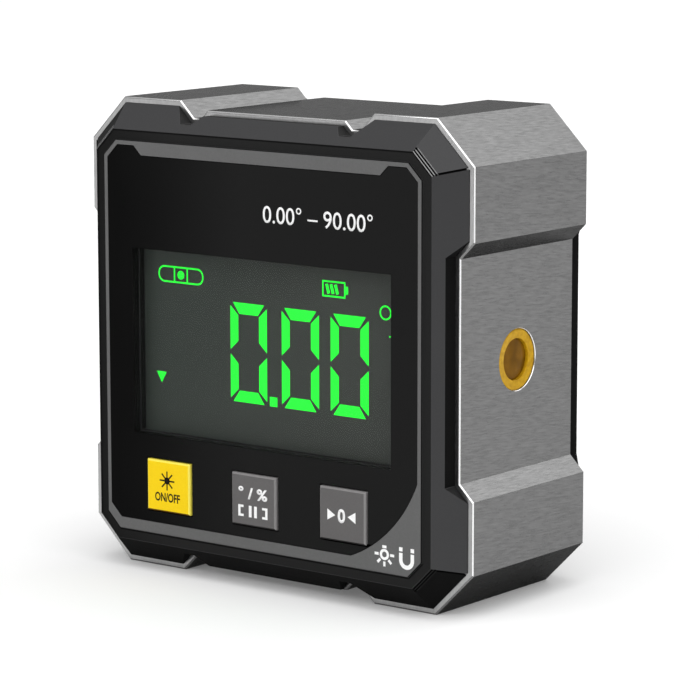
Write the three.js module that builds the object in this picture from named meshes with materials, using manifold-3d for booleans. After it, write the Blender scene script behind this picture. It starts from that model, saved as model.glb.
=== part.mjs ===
// A digital level box: a square angle gauge with an LCD, three keys and a laser aperture in its right side.
// Millimetres, +Z up. The display faces -Y, and the origin is at the bottom, centred in X and Y.
import * as THREE from "three";
import { mergeVertices } from "three/addons/utils/BufferGeometryUtils.js";
import Module from "manifold-3d";

const wasm = await Module();
wasm.setup();

// Clearances between pieces
const seatGap = 0.05;
const slideGap = 0.15;
const fitGap = 0.2;
const cutOverrun = 1;

// Battery cells, upright side by side, one each way up
const cellRadius = 5.25;
const cellLength = 44.5;
const cellNubRadius = 1.9;
const cellNubHeight = 0.8;
const cellEdge = 0.4;
const cellGap = 0.3;
const cellDoorGap = 0.4;

// Rear cover with its battery tray
const rearDepth = 2.9;
const rearPlate = 2.2;
const trayWall = 1.2;
const trayFloor = 1;
const trayEndSpace = 1.9;
const latchNotchRadius = 2.6;
const latchNotchDepth = 1;

// Metal frame: an extruded ring with stepped sides
const frameDepth = 23.7;
const frameCorner = 5.5;
const frameWall = 2.4;
const frameEdgeChamfer = 0.2;
const cavityCorner = 2.9;
const sideBlockWidth = 9;
const blockWidth = 9.35;
const channelDepth = 2;
const grooveDepth = 2.15;
const grooveFlat = 1.1;
const landDrop = 1.07;

// Magnets: discs in pockets behind the corner blocks
const magnetRadius = 4;
const magnetThickness = 2.6;

// Front bezel: a low frustum cut by the steps of the frame
const bezelDepth = 3.4;
const bezelFootInset = 0.72;
const bezelRimInset = 3.79;
const bezelRimCorner = 2.77;
const stepInset = 0.65;
const webThickness = 1;
const skirtThickness = 1.4;
const skirtDepth = 2.2;

// Grey trim ring around the display panel
const trimInset = 5.14;
const trimCorner = 1.98;
const trimProud = 0.15;
const trimThin = 0.55;
const trimTopBand = 1.75;
const trimBottomBand = 1.45;
const trimNotchSpan = 6.11;
const trimArcRadius = 18;
const trimArcSpan = 10;

// Display panel and the window in it
const panelProud = 0.1;
const panelThickness = 1.2;
const windowSideMargin = 4.56;
const windowTopMargin = 13.5;
const windowKeyGap = 3.15;

// Display stack behind the window
const lcdThickness = 2.2;
const lcdOverlap = 1.3;
const guideThickness = 2;
const guideTopMargin = 1.5;
const holderWall = 0.7;
const holderFloor = 0.8;
const ledWidth = 1.2;
const ledHeight = 3;
const ledPlaceShare = 0.46;
const ledRecess = 0.3;
const stripThickness = 0.8;
const stripEndMargin = 1.5;

// Keys, each on its own switch
const keyNames = ["power", "hold", "zero"];
const keyWidth = 7.05;
const keyHeight = 6.6;
const keyLeftMargin = 6.85;
const keyRightMargin = 8.06;
const keyBottomMargin = 3.01;
const keyProud = 0.4;
const keyBevel = 0.22;
const keyFlangeMargin = 0.6;
const keyFlangeThickness = 0.8;
const keyStemRadius = 1.2;
const keyStemLength = 0.7;
const keyTravel = 0.3;
const switchSide = 4.5;
const switchThickness = 2.2;
const plungerRadius = 0.9;
const plungerSeat = 0.5;

// Main board and what is soldered to it
const boardThickness = 1.2;
const boardGap = 0.4;
const boardHoleMargin = 0.4;
const chipSide = 7;
const chipThickness = 0.9;
const chipBoardMargin = 5.7;
const chipPlaceZ = 6;
const sensorSide = 3;
const sensorThickness = 1;
const chipEdge = 0.25;
const bossRadius = 2;
const bossMargin = 0.5;

// Laser: aperture ring, lens, module and its holder
const apertureRadius = 3.8;
const apertureChamfer = 0.25;
const ringRecess = 0.15;
const ringFunnelDepth = 0.5;
const ringBoreRadius = 2.4;
const ringBoreDepth = 0.7;
const ringFlangeRadius = 4.8;
const ringFlangeThickness = 0.6;
const lensRadius = 2.9;
const lensThickness = 0.8;
const lensCrown = 0.2;
const laserRadius = 3;
const laserTrayGap = 2.8;
const laserNose = 0.6;
const laserHolderWall = 1.4;
const laserHolderLength = 6;

// Screws
const postInset = 3.4;
const postRadius = 2.6;
const rearShankRadius = 1.15;
const rearHeadRadius = 2.2;
const rearHeadHeight = 1.6;
const rearHeadSunk = 0.45;
const shankClearance = 0.2;
const pilotFloor = 0.4;
const boardShankRadius = 0.9;
const boardHeadRadius = 1.7;
const boardHeadHeight = 1.1;
const boardShankEngage = 3.6;

// Battery contacts
const contactThickness = 0.3;
const contactHalfWidth = 4;
const contactLegHalf = 1;
const contactBossRadius = 2.4;
const contactTipRadius = 1.3;
const leafHalfWidth = 2.5;
const leafReach = 3.6;

// Battery door, hinged at its lower edge
const doorThickness = 1.6;
const doorLedge = 1.1;
const doorOpeningMargin = 0.35;
const doorPinRadius = 0.4;
const doorPinLength = 1;
const doorRibHalf = 0.6;
const doorRibDepth = 1;
const doorRibEnd = 3;
const catchHalf = 1.2;
const catchDepth = 1.4;
const catchThickness = 0.9;

// Facets on round pieces
const fineSides = 48;
const roundSides = 32;
const smallSides = 20;

// Levels along Y, from the front of the metal frame
const rimFront = -bezelDepth;
const panelFront = rimFront - panelProud;
const trimFront = rimFront - trimProud;
const keyFront = panelFront - keyProud;
const recessFloor = panelFront + panelThickness + seatGap;
const webBack = recessFloor + webThickness;
const lcdFront = webBack + seatGap;
const lcdBack = lcdFront + lcdThickness;
const guideFront = lcdBack + seatGap;
const guideBack = guideFront + guideThickness;
const holderFloorFront = guideBack + seatGap;
const holderBack = holderFloorFront + holderFloor;
const boardFront = holderBack + seatGap;
const boardBack = boardFront + boardThickness;
const laserDepth = frameDepth / 2;
const rearFace = frameDepth + rearDepth;
const plateInner = rearFace - rearPlate;
const doorInner = rearFace - doorThickness;
const cellDepth = doorInner - cellDoorGap - cellRadius;
const trayInner = cellDepth - cellRadius - fitGap;
const trayFront = trayInner - trayFloor;

// Widths of the frame: it is as high as the cells, their contacts and the walls around them
const cavityHalf = cellLength / 2 + trayEndSpace + trayWall + fitGap + seatGap;
const channelFloor = cavityHalf + frameWall;
const frameHalf = channelFloor + channelDepth;
const skirtHalf = cavityHalf - fitGap;
const skirtInner = skirtHalf - skirtThickness;
const blockHalf = frameHalf - frameCorner - blockWidth;
const channelHalf = frameHalf - frameCorner - sideBlockWidth;
const magnetPlace = frameHalf - frameCorner - blockWidth / 2;
const postPlace = cavityHalf - postInset;

// Places on the display panel
const trimHalf = frameHalf - trimInset;
const trimTopBandHalf = trimHalf - trimNotchSpan;
const keyFirst = keyLeftMargin + keyWidth / 2 - trimHalf;
const keyLast = trimHalf - keyRightMargin - keyWidth / 2;
const keyPitch = (keyLast - keyFirst) / (keyNames.length - 1);
const keyDrop = trimHalf - keyBottomMargin - keyHeight / 2;
const windowHalfWidth = trimHalf - windowSideMargin;
const windowTop = trimHalf - windowTopMargin;
const windowBottom = windowKeyGap + keyHeight / 2 - keyDrop;
const windowHalfHeight = (windowTop - windowBottom) / 2;
const windowCentre = (windowTop + windowBottom) / 2;

// Widths that follow from the window, the board and the cells
const lcdHalfWidth = windowHalfWidth + lcdOverlap;
const lcdHalfHeight = windowHalfHeight + lcdOverlap;
const ledPlace = lcdHalfHeight * ledPlaceShare;
const holderHalfWidth = lcdHalfWidth + fitGap / 2 + holderWall;
const holderHalfHeight = lcdHalfHeight + fitGap / 2 + holderWall;
const boardHalf = cavityHalf - boardGap;
const chipPlaceX = chipSide / 2 + chipBoardMargin - boardHalf;
const bossPlaceX = skirtInner - bossMargin - bossRadius;
const bossRise = holderHalfHeight + bossMargin + bossRadius;
const cellPlace = cellRadius + fitGap / 2;
const bayHalfWidth = cellPlace + cellRadius + cellGap;
const bayHalfHeight = cellLength / 2 + trayEndSpace;
const openingHalfHeight = cellLength / 2 + doorOpeningMargin;
const rabbetHalfWidth = bayHalfWidth + doorLedge + fitGap;
const rabbetHalfHeight = openingHalfHeight + doorLedge;
const doorHalfWidth = rabbetHalfWidth - fitGap;
const doorHalfHeight = rabbetHalfHeight - fitGap;
const hingeY = rearFace - doorThickness / 2;
const hingeZ = -doorHalfHeight + doorThickness / 2;

const finishes = {
  aluminium: { color: 0x8a8a8a, roughness: 0.38, metalness: 1 },
  blackPlastic: { color: 0x1b1b1c, roughness: 0.5, metalness: 0 },
  greyTrim: { color: 0x656565, roughness: 0.45, metalness: 0.2 },
  glossBlack: { color: 0x141415, roughness: 0.12, metalness: 0 },
  clearPane: { color: 0x39403b, roughness: 0.05, metalness: 0 },
  lcdGlass: { color: 0x3f423f, roughness: 0.2, metalness: 0 },
  whitePlastic: { color: 0xe4e4e0, roughness: 0.5, metalness: 0 },
  yellowKey: { color: 0xffd816, roughness: 0.35, metalness: 0 },
  greyKey: { color: 0x6a6868, roughness: 0.4, metalness: 0 },
  switchBlack: { color: 0x2a2a2c, roughness: 0.5, metalness: 0 },
  board: { color: 0x1d5a34, roughness: 0.45, metalness: 0 },
  chip: { color: 0x222224, roughness: 0.4, metalness: 0 },
  brass: { color: 0xb58b3a, roughness: 0.3, metalness: 1 },
  goldRing: { color: 0xc8960f, roughness: 0.3, metalness: 0.8 },
  lens: { color: 0x7a5a20, roughness: 0.08, metalness: 0 },
  steel: { color: 0xa9abad, roughness: 0.3, metalness: 1 },
  magnet: { color: 0xc2c4c6, roughness: 0.2, metalness: 1 },
  spring: { color: 0xcfcfca, roughness: 0.25, metalness: 1 },
  cell: { color: 0x2f6f8f, roughness: 0.35, metalness: 0.2 },
  rubber: { color: 0x3a3a3c, roughness: 0.8, metalness: 0 },
};

// Solids: geometry becomes a solid for joining and cutting, and goes back to geometry at the end
function solid(geometry) {
  const bare = geometry.index ? geometry.toNonIndexed() : geometry.clone();
  bare.deleteAttribute("normal");
  bare.deleteAttribute("uv");
  const merged = mergeVertices(bare);
  return new wasm.Manifold(
    new wasm.Mesh({
      numProp: 3,
      vertProperties: new Float32Array(merged.attributes.position.array),
      triVerts: new Uint32Array(merged.index.array),
    }),
  );
}

function geometryOf(body) {
  const mesh = body.getMesh();
  const geometry = new THREE.BufferGeometry();
  geometry.setAttribute("position", new THREE.BufferAttribute(new Float32Array(mesh.vertProperties), 3));
  geometry.setIndex(new THREE.BufferAttribute(new Uint32Array(mesh.triVerts), 1));
  geometry.computeVertexNormals();
  return geometry;
}

function join(...bodies) {
  return bodies.reduce((all, body) => all.add(body));
}

function cut(body, ...tools) {
  return tools.reduce((left, tool) => left.subtract(tool), body);
}

// Outlines lie in the plane of the display: x to the right, y up
function point(x, y) {
  return new THREE.Vector2(x, y);
}

function octagon(half, corner) {
  const near = half - corner;
  return [
    point(half, -near),
    point(half, near),
    point(near, half),
    point(-near, half),
    point(-half, near),
    point(-half, -near),
    point(-near, -half),
    point(near, -half),
  ];
}

function rectangle(halfWidth, halfHeight, centreX = 0, centreY = 0) {
  return [
    point(centreX + halfWidth, centreY - halfHeight),
    point(centreX + halfWidth, centreY + halfHeight),
    point(centreX - halfWidth, centreY + halfHeight),
    point(centreX - halfWidth, centreY - halfHeight),
  ];
}

function circle(radius, sides, centreX = 0, centreY = 0) {
  const turn = (2 * Math.PI) / sides;
  return Array.from({ length: sides }, (_, i) =>
    point(centreX + radius * Math.cos(i * turn), centreY + radius * Math.sin(i * turn)),
  );
}

// Each side of a counter-clockwise outline moves inwards, and its corners follow
function insetOutline(outline, distance) {
  const count = outline.length;
  const sides = outline.map((start, i) => {
    const direction = outline[(i + 1) % count].clone().sub(start).normalize();
    const inwards = point(-direction.y, direction.x).multiplyScalar(distance);
    return { start: start.clone().add(inwards), direction };
  });
  return sides.map((side, i) => {
    const before = sides[(i + count - 1) % count];
    const gap = side.start.clone().sub(before.start);
    const along = gap.cross(side.direction) / before.direction.cross(side.direction);
    return before.start.clone().addScaledVector(before.direction, along);
  });
}

function blendOutlines(first, second, share) {
  return first.map((corner, i) => corner.clone().lerp(second[i], share));
}

// The frame's outline: channels in the sides, and two grooves with a raised land at top and bottom
function frameOutline() {
  const near = frameHalf - frameCorner;
  const grooveOuter = blockHalf - grooveDepth;
  const grooveInner = grooveOuter - grooveFlat;
  const landHalf = grooveInner - (grooveDepth - landDrop);
  const quarter = [
    point(channelFloor, channelHalf - channelDepth),
    point(frameHalf, channelHalf),
    point(frameHalf, near),
    point(near, frameHalf),
    point(blockHalf, frameHalf),
    point(grooveOuter, frameHalf - grooveDepth),
    point(grooveInner, frameHalf - grooveDepth),
    point(landHalf, frameHalf - landDrop),
  ];
  const left = [...quarter].reverse().map((p) => point(-p.x, p.y));
  const upper = [...quarter, ...left];
  const lower = [...upper].reverse().map((p) => point(p.x, -p.y));
  return [...upper, ...lower];
}

// The panel's outline inside the trim: a notched top, and a bulging arc at the lower right
function panelOutline() {
  const inner = trimHalf - trimThin;
  const near = inner - trimCorner + trimThin * (2 - Math.SQRT2);
  const top = trimHalf - trimTopBand;
  const bottom = -trimHalf + trimBottomBand;
  const notchEnd = trimTopBandHalf + inner - top;
  const arcStart = point(inner - trimArcSpan, bottom);
  const arcEnd = point(inner, bottom + trimArcSpan);
  return [
    point(-near, bottom),
    ...arcPoints(arcStart, arcEnd, trimArcRadius),
    point(inner, near),
    point(near, inner),
    point(notchEnd, inner),
    point(trimTopBandHalf, top),
    point(-trimTopBandHalf, top),
    point(-notchEnd, inner),
    point(-near, inner),
    point(-inner, near),
    point(-inner, bottom + inner - near),
  ];
}

// Points on the counter-clockwise arc of a given radius from one point to another
function arcPoints(start, end, radius) {
  const chord = end.clone().sub(start);
  const half = chord.length() / 2;
  const left = point(-chord.y, chord.x).normalize();
  const centre = start.clone().addScaledVector(chord, 1 / 2);
  centre.addScaledVector(left, Math.sqrt(radius * radius - half * half));
  const from = Math.atan2(start.y - centre.y, start.x - centre.x);
  const to = Math.atan2(end.y - centre.y, end.x - centre.x);
  return new THREE.EllipseCurve(centre.x, centre.y, radius, radius, from, to).getPoints(smallSides);
}

// Prisms: an outline carried from one level to another
function shapeOf(outline, holes = []) {
  const shape = new THREE.Shape(outline);
  shape.holes = holes.map((hole) => new THREE.Path(hole));
  return shape;
}

function prismGeometry(outline, front, back, holes, chamfer = 0) {
  const geometry = new THREE.ExtrudeGeometry(shapeOf(outline, holes), {
    depth: back - front - 2 * chamfer,
    steps: 1,
    bevelEnabled: chamfer > 0,
    bevelThickness: chamfer,
    bevelSize: chamfer,
    bevelOffset: -chamfer,
    bevelSegments: 1,
  });
  return geometry.rotateX(Math.PI / 2).translate(0, back - chamfer, 0);
}

function prism(outline, front, back, holes = []) {
  return solid(prismGeometry(outline, front, back, holes));
}

// A prism of a profile in the YZ plane, carried along X
function sideProfile(profile, left, right) {
  const depth = right - left;
  const geometry = new THREE.ExtrudeGeometry(shapeOf(profile), { depth, bevelEnabled: false });
  const turn = new THREE.Matrix4().makeBasis(
    new THREE.Vector3(0, 1, 0),
    new THREE.Vector3(0, 0, 1),
    new THREE.Vector3(1, 0, 0),
  );
  return solid(geometry.applyMatrix4(turn).translate(left, 0, 0));
}

function block(x0, x1, y0, y1, z0, z1) {
  const geometry = new THREE.BoxGeometry(x1 - x0, y1 - y0, z1 - z0);
  return solid(geometry.translate((x0 + x1) / 2, (y0 + y1) / 2, (z0 + z1) / 2));
}

// A loft through outlines that have the same number of corners, each at its own level along Y
function loft(rings) {
  const count = rings[0].outline.length;
  const corners = rings.flatMap((ring) => ring.outline.flatMap((p) => [p.x, ring.y, p.y]));
  const faces = [];
  for (let ring = 0; ring < rings.length - 1; ring++) {
    for (let i = 0; i < count; i++) {
      const a = ring * count + i;
      const b = ring * count + ((i + 1) % count);
      faces.push(a, b + count, b, a, a + count, b + count);
    }
  }
  const last = (rings.length - 1) * count;
  for (const [a, b, c] of THREE.ShapeUtils.triangulateShape(rings[0].outline, [])) {
    faces.push(a, b, c);
  }
  for (const [a, b, c] of THREE.ShapeUtils.triangulateShape(rings.at(-1).outline, [])) {
    faces.push(last + a, last + c, last + b);
  }
  const geometry = new THREE.BufferGeometry();
  geometry.setAttribute("position", new THREE.Float32BufferAttribute(corners, 3));
  geometry.setIndex(faces);
  return solid(geometry);
}

// A turned piece: its profile runs from the axis back to the axis, radius first, then place along the axis
function turned(profile, sides) {
  return new THREE.LatheGeometry(profile, sides);
}

function alongX(geometry) {
  return geometry.rotateZ(-Math.PI / 2);
}

function alongZ(geometry) {
  return geometry.rotateX(Math.PI / 2);
}

// A plain rod's profile from one place on the axis to another
function rodProfile(radius, from, to) {
  return [point(0, from), point(radius, from), point(radius, to), point(0, to)];
}

function rodY(radius, front, back, x, z, sides = roundSides) {
  return solid(turned(rodProfile(radius, front, back), sides).translate(x, 0, z));
}

function rodX(radius, left, right, y, z, sides = roundSides) {
  return solid(alongX(turned(rodProfile(radius, left, right), sides)).translate(0, y, z));
}

function rodZ(radius, bottom, top, x, y, sides = roundSides) {
  return solid(alongZ(turned(rodProfile(radius, bottom, top), sides)).translate(x, y, 0));
}

// The sloping cover at the front or back: its foot lies on the frame, and its rim stands a depth away
function coverFoot() {
  return insetOutline(octagon(frameHalf, frameCorner), bezelFootInset);
}

function coverRim(depth) {
  const rim = octagon(frameHalf - bezelRimInset, bezelRimCorner);
  return blendOutlines(coverFoot(), rim, depth / bezelDepth);
}

function steppedCover(footY, rimY) {
  const depth = Math.abs(rimY - footY);
  const rings = [
    { outline: coverFoot(), y: footY },
    { outline: coverRim(depth), y: rimY },
  ];
  const slopes = loft(rimY < footY ? rings.reverse() : rings);
  const steps = insetOutline(frameOutline(), stepInset);
  const low = Math.min(footY, rimY) - cutOverrun;
  const high = Math.max(footY, rimY) + cutOverrun;
  return slopes.intersect(prism(steps, low, high));
}

const corners = [
  [1, 1],
  [-1, 1],
  [-1, -1],
  [1, -1],
];

const boardScrewPlaces = corners.map(([sx, sz]) => [sx * bossPlaceX, windowCentre + sz * bossRise]);

const keyPlaces = keyNames.map((name, i) => keyFirst + i * keyPitch);

// Frame
function blockDisc(axis, sx, sz, radius, inner, outer) {
  const side = axis === "x" ? sx : sz;
  const [low, high] = [side * inner, side * outer].sort((a, b) => a - b);
  if (axis === "x") {
    return rodX(radius, low, high, laserDepth, sz * magnetPlace);
  }
  return rodZ(radius, low, high, sx * magnetPlace, laserDepth);
}

function magnetPockets() {
  const radius = magnetRadius + fitGap / 2;
  const inner = cavityHalf - frameWall;
  const outer = cavityHalf + magnetThickness + fitGap;
  return corners.flatMap(([sx, sz]) =>
    ["x", "z"].map((axis) => blockDisc(axis, sx, sz, radius, inner, outer)),
  );
}

function apertureCut() {
  const inner = cavityHalf - cutOverrun;
  const outer = channelFloor + cutOverrun;
  const profile = [
    point(0, inner),
    point(apertureRadius, inner),
    point(apertureRadius, channelFloor - apertureChamfer),
    point(apertureRadius + apertureChamfer + cutOverrun, outer),
    point(0, outer),
  ];
  return solid(alongX(turned(profile, fineSides)).translate(0, laserDepth, 0));
}

function frame() {
  const cavity = octagon(cavityHalf, cavityCorner);
  const ring = solid(prismGeometry(frameOutline(), 0, frameDepth, [cavity], frameEdgeChamfer));
  return cut(ring, apertureCut(), ...magnetPockets());
}

function magnet(axis, sx, sz) {
  const inner = cavityHalf + fitGap / 2;
  return blockDisc(axis, sx, sz, magnetRadius, inner, inner + magnetThickness);
}

// Front bezel
function keyOpenings(front, back) {
  return keyPlaces.map((x) =>
    prism(rectangle(keyWidth / 2 + slideGap, keyHeight / 2 + slideGap, x, -keyDrop), front, back),
  );
}

function frontBezel() {
  const back = boardFront - seatGap;
  const open = back + cutOverrun;
  const root = recessFloor + webThickness / 2;
  const pilotEnd = recessFloor + pilotFloor;
  const hollow = octagon(skirtInner, cavityCorner);
  const skirt = prism(octagon(skirtHalf, cavityCorner), -bezelDepth / 2, skirtDepth, [hollow]);
  const shell = cut(
    join(steppedCover(-seatGap, rimFront), skirt),
    prism(hollow, webBack, skirtDepth + cutOverrun),
    prism(octagon(trimHalf + seatGap, trimCorner), rimFront - cutOverrun, recessFloor),
    prism(rectangle(windowHalfWidth, windowHalfHeight, 0, windowCentre), rimFront, lcdBack),
    ...keyOpenings(rimFront, lcdBack),
  );
  const posts = corners.map(([sx, sz]) =>
    rodY(postRadius, root, back, sx * postPlace, sz * postPlace),
  );
  const bosses = boardScrewPlaces.map(([x, z]) =>
    rodY(bossRadius, root, back, x, z, smallSides),
  );
  const pilots = corners.map(([sx, sz]) =>
    rodY(rearShankRadius + seatGap, pilotEnd, open, sx * postPlace, sz * postPlace),
  );
  const bossPilots = boardScrewPlaces.map(([x, z]) =>
    rodY(boardShankRadius + seatGap, pilotEnd, open, x, z, smallSides),
  );
  return cut(join(shell, ...posts, ...bosses), ...pilots, ...bossPilots);
}

// Trim, panel and window
function trimRing() {
  return prism(octagon(trimHalf, trimCorner), trimFront, recessFloor - seatGap, [panelOutline()]);
}

function displayPanel() {
  const opening = rectangle(windowHalfWidth + seatGap, windowHalfHeight + seatGap, 0, windowCentre);
  const plate = prism(insetOutline(panelOutline(), seatGap), panelFront, recessFloor - seatGap, [opening]);
  return cut(plate, ...keyOpenings(panelFront - cutOverrun, recessFloor + cutOverrun));
}

function displayWindow() {
  const pane = rectangle(windowHalfWidth, windowHalfHeight, 0, windowCentre);
  return prism(pane, panelFront, recessFloor - seatGap);
}

// Display stack
function lcd() {
  return prism(rectangle(lcdHalfWidth, lcdHalfHeight, 0, windowCentre), lcdFront, lcdBack);
}

function ledCut(side, gap) {
  const right = -lcdHalfWidth + ledWidth + gap;
  const half = ledHeight / 2 + gap;
  const low = side * ledPlace + windowCentre;
  return [-lcdHalfWidth - gap, right, low - half, low + half];
}

function ledSlot(side) {
  const [x0, x1, z0, z1] = ledCut(side, fitGap);
  return block(x0, x1, guideFront + ledRecess - fitGap, holderBack + cutOverrun, z0, z1);
}

function backlightLed(side) {
  const [x0, x1, z0, z1] = ledCut(side, 0);
  return block(x0, x1, guideFront + ledRecess, holderBack, z0, z1);
}

function stripPlace(gap) {
  const top = windowCentre + lcdHalfHeight - fitGap;
  const half = lcdHalfWidth - stripEndMargin;
  return [-half - gap, half + gap, top - stripThickness - gap, top + gap];
}

function backlightGuide() {
  const top = windowCentre + lcdHalfHeight - guideTopMargin;
  const bottom = windowCentre - lcdHalfHeight;
  const middle = (top + bottom) / 2;
  const plate = prism(rectangle(lcdHalfWidth, (top - bottom) / 2, 0, middle), guideFront, guideBack);
  return cut(plate, ledSlot(1), ledSlot(-1));
}

function contactStrip() {
  const [x0, x1, z0, z1] = stripPlace(0);
  return block(x0, x1, guideFront, holderBack, z0, z1);
}

function lcdHolder() {
  const outer = prism(rectangle(holderHalfWidth, holderHalfHeight, 0, windowCentre), lcdFront, holderBack);
  const wellHalfWidth = lcdHalfWidth + fitGap / 2;
  const wellHalfHeight = lcdHalfHeight + fitGap / 2;
  const well = prism(
    rectangle(wellHalfWidth, wellHalfHeight, 0, windowCentre),
    lcdFront - cutOverrun,
    holderFloorFront,
  );
  const [x0, x1, z0, z1] = stripPlace(fitGap / 2);
  const stripSlot = block(x0, x1, guideBack, holderBack + cutOverrun, z0, z1);
  return cut(outer, well, stripSlot, ledSlot(1), ledSlot(-1));
}

// Keys and switches
const flangeFront = webBack + seatGap;
const flangeBack = flangeFront + keyFlangeThickness;
const stemBack = flangeBack + keyStemLength;
const switchBack = boardFront - seatGap;
const switchFront = switchBack - switchThickness;

function key(x) {
  const face = rectangle(keyWidth / 2, keyHeight / 2, x, -keyDrop);
  const cap = loft([
    { outline: insetOutline(face, keyBevel), y: keyFront },
    { outline: face, y: keyFront + keyBevel },
    { outline: face, y: flangeFront + keyFlangeThickness / 2 },
  ]);
  const flange = rectangle(keyWidth / 2 + keyFlangeMargin, keyHeight / 2 + keyFlangeMargin, x, -keyDrop);
  const stem = rodY(keyStemRadius, flangeBack - keyFlangeThickness / 2, stemBack, x, -keyDrop, smallSides);
  return join(cap, prism(flange, flangeFront, flangeBack), stem);
}

function plunger(x) {
  return rodY(plungerRadius, stemBack + seatGap, switchFront + plungerSeat, x, -keyDrop, smallSides);
}

function switchBody(x) {
  const body = prism(rectangle(switchSide / 2, switchSide / 2, x, -keyDrop), switchFront, switchBack);
  const boreEnd = switchFront + plungerSeat + keyTravel + fitGap;
  const bore = rodY(plungerRadius + slideGap, switchFront - cutOverrun, boreEnd, x, -keyDrop, smallSides);
  return cut(body, bore);
}

// Board and components
function mainBoard() {
  const holes = [
    ...corners.map(([sx, sz]) =>
      circle(rearShankRadius + boardHoleMargin, smallSides, sx * postPlace, sz * postPlace),
    ),
    ...boardScrewPlaces.map(([x, z]) => circle(boardShankRadius + fitGap, smallSides, x, z)),
  ];
  return prism(octagon(boardHalf, cavityCorner), boardFront, boardBack, holes);
}

function chipBody(side, thickness, x, z) {
  const foot = rectangle(side / 2, side / 2, x, z);
  return loft([
    { outline: foot, y: boardBack + seatGap },
    { outline: foot, y: boardBack + seatGap + thickness - chipEdge },
    { outline: insetOutline(foot, chipEdge), y: boardBack + seatGap + thickness },
  ]);
}

// Laser
const ringFront = channelFloor - ringRecess;
const ringBack = cavityHalf - seatGap - ringFlangeThickness;
const lensFront = ringFront - ringFunnelDepth - ringBoreDepth;
const lensBack = lensFront - lensThickness;
const laserFront = ringBack - seatGap;
const laserBack = bayHalfWidth + trayWall + laserTrayGap;

function apertureRing() {
  const outer = apertureRadius - seatGap;
  const profile = [
    point(lensRadius + seatGap, ringBack),
    point(ringFlangeRadius, ringBack),
    point(ringFlangeRadius, cavityHalf - seatGap),
    point(outer, cavityHalf - seatGap),
    point(outer, ringFront),
    point(ringBoreRadius, ringFront - ringFunnelDepth),
    point(ringBoreRadius, lensFront + seatGap),
    point(lensRadius + seatGap, lensFront + seatGap),
    point(lensRadius + seatGap, ringBack),
  ];
  return alongX(turned(profile, fineSides)).translate(0, laserDepth, 0);
}

function laserLens() {
  const profile = [
    point(0, lensBack),
    point(lensRadius, lensBack),
    point(lensRadius, lensFront - lensCrown),
    point(ringBoreRadius - seatGap, lensFront - lensCrown / 2),
    point(ringBoreRadius / 2, lensFront),
    point(0, lensFront),
  ];
  return alongX(turned(profile, fineSides)).translate(0, laserDepth, 0);
}

function laserModule() {
  const profile = [
    point(0, laserBack),
    point(laserRadius, laserBack),
    point(laserRadius, laserFront - laserNose),
    point(laserRadius - laserNose, laserFront),
    point(laserRadius / 2, laserFront),
    point(laserRadius / 2, laserFront - laserNose),
    point(0, laserFront - laserNose),
  ];
  return alongX(turned(profile, roundSides)).translate(0, laserDepth, 0);
}

function laserHolder() {
  const outer = laserRadius + laserHolderWall;
  const left = (laserFront + laserBack - laserHolderLength) / 2;
  const right = left + laserHolderLength;
  const crown = new THREE.EllipseCurve(laserDepth, 0, outer, outer, -Math.PI / 2, Math.PI / 2);
  const foot = boardBack + seatGap;
  const profile = [point(foot, -outer), ...crown.getPoints(smallSides), point(foot, outer)];
  const saddle = sideProfile(profile, left, right);
  return cut(saddle, rodX(laserRadius + seatGap, left - cutOverrun, right + cutOverrun, laserDepth, 0));
}

// Rear cover
const rabbetFloor = doorInner - seatGap;
const postFront = boardBack + seatGap;
const headFloor = rearFace - rearHeadHeight - rearHeadSunk - seatGap;

function contactSlots() {
  const half = contactLegHalf + fitGap;
  const front = trayFront - cutOverrun;
  const back = trayInner + cutOverrun;
  const bottom = bayHalfHeight - seatGap - contactThickness - fitGap / 2;
  const top = bottom + contactThickness + fitGap;
  return [-cellPlace, cellPlace].map((x) => block(x - half, x + half, front, back, bottom, top));
}

function latchNotch() {
  const profile = [
    point(0, rearFace - latchNotchDepth),
    point(latchNotchRadius - latchNotchDepth, rearFace - latchNotchDepth),
    point(latchNotchRadius, rearFace),
    point(latchNotchRadius, rearFace + cutOverrun),
    point(0, rearFace + cutOverrun),
  ];
  return solid(turned(profile, roundSides).translate(0, 0, rabbetHalfHeight));
}

function rearCover() {
  const hollow = octagon(skirtInner, cavityCorner);
  const skirt = prism(octagon(skirtHalf, cavityCorner), frameDepth - skirtDepth, plateInner, [hollow]);
  const shell = cut(
    join(steppedCover(frameDepth + seatGap, rearFace), skirt),
    prism(hollow, frameDepth - skirtDepth, plateInner),
  );
  const trayBox = prism(
    rectangle(bayHalfWidth + trayWall, bayHalfHeight + trayWall),
    trayFront,
    plateInner + rearPlate / 2,
  );
  const posts = corners.map(([sx, sz]) =>
    rodY(postRadius, postFront, plateInner + rearPlate / 2, sx * postPlace, sz * postPlace),
  );
  const outside = rearFace + cutOverrun;
  const shankBore = rearShankRadius + shankClearance;
  const bores = corners.flatMap(([sx, sz]) => [
    rodY(shankBore, postFront - cutOverrun, outside, sx * postPlace, sz * postPlace),
    rodY(rearHeadRadius + fitGap, headFloor, outside, sx * postPlace, sz * postPlace),
  ]);
  const pinEnd = doorHalfWidth + doorPinLength + fitGap;
  return cut(
    join(shell, trayBox, ...posts),
    prism(rectangle(bayHalfWidth, bayHalfHeight), trayInner, plateInner),
    prism(rectangle(bayHalfWidth, openingHalfHeight), trayInner, outside),
    prism(rectangle(rabbetHalfWidth, rabbetHalfHeight), rabbetFloor, outside),
    rodX(doorPinRadius + seatGap * 2, -pinEnd, pinEnd, hingeY, hingeZ, smallSides),
    latchNotch(),
    ...contactSlots(),
    ...bores,
  );
}

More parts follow.
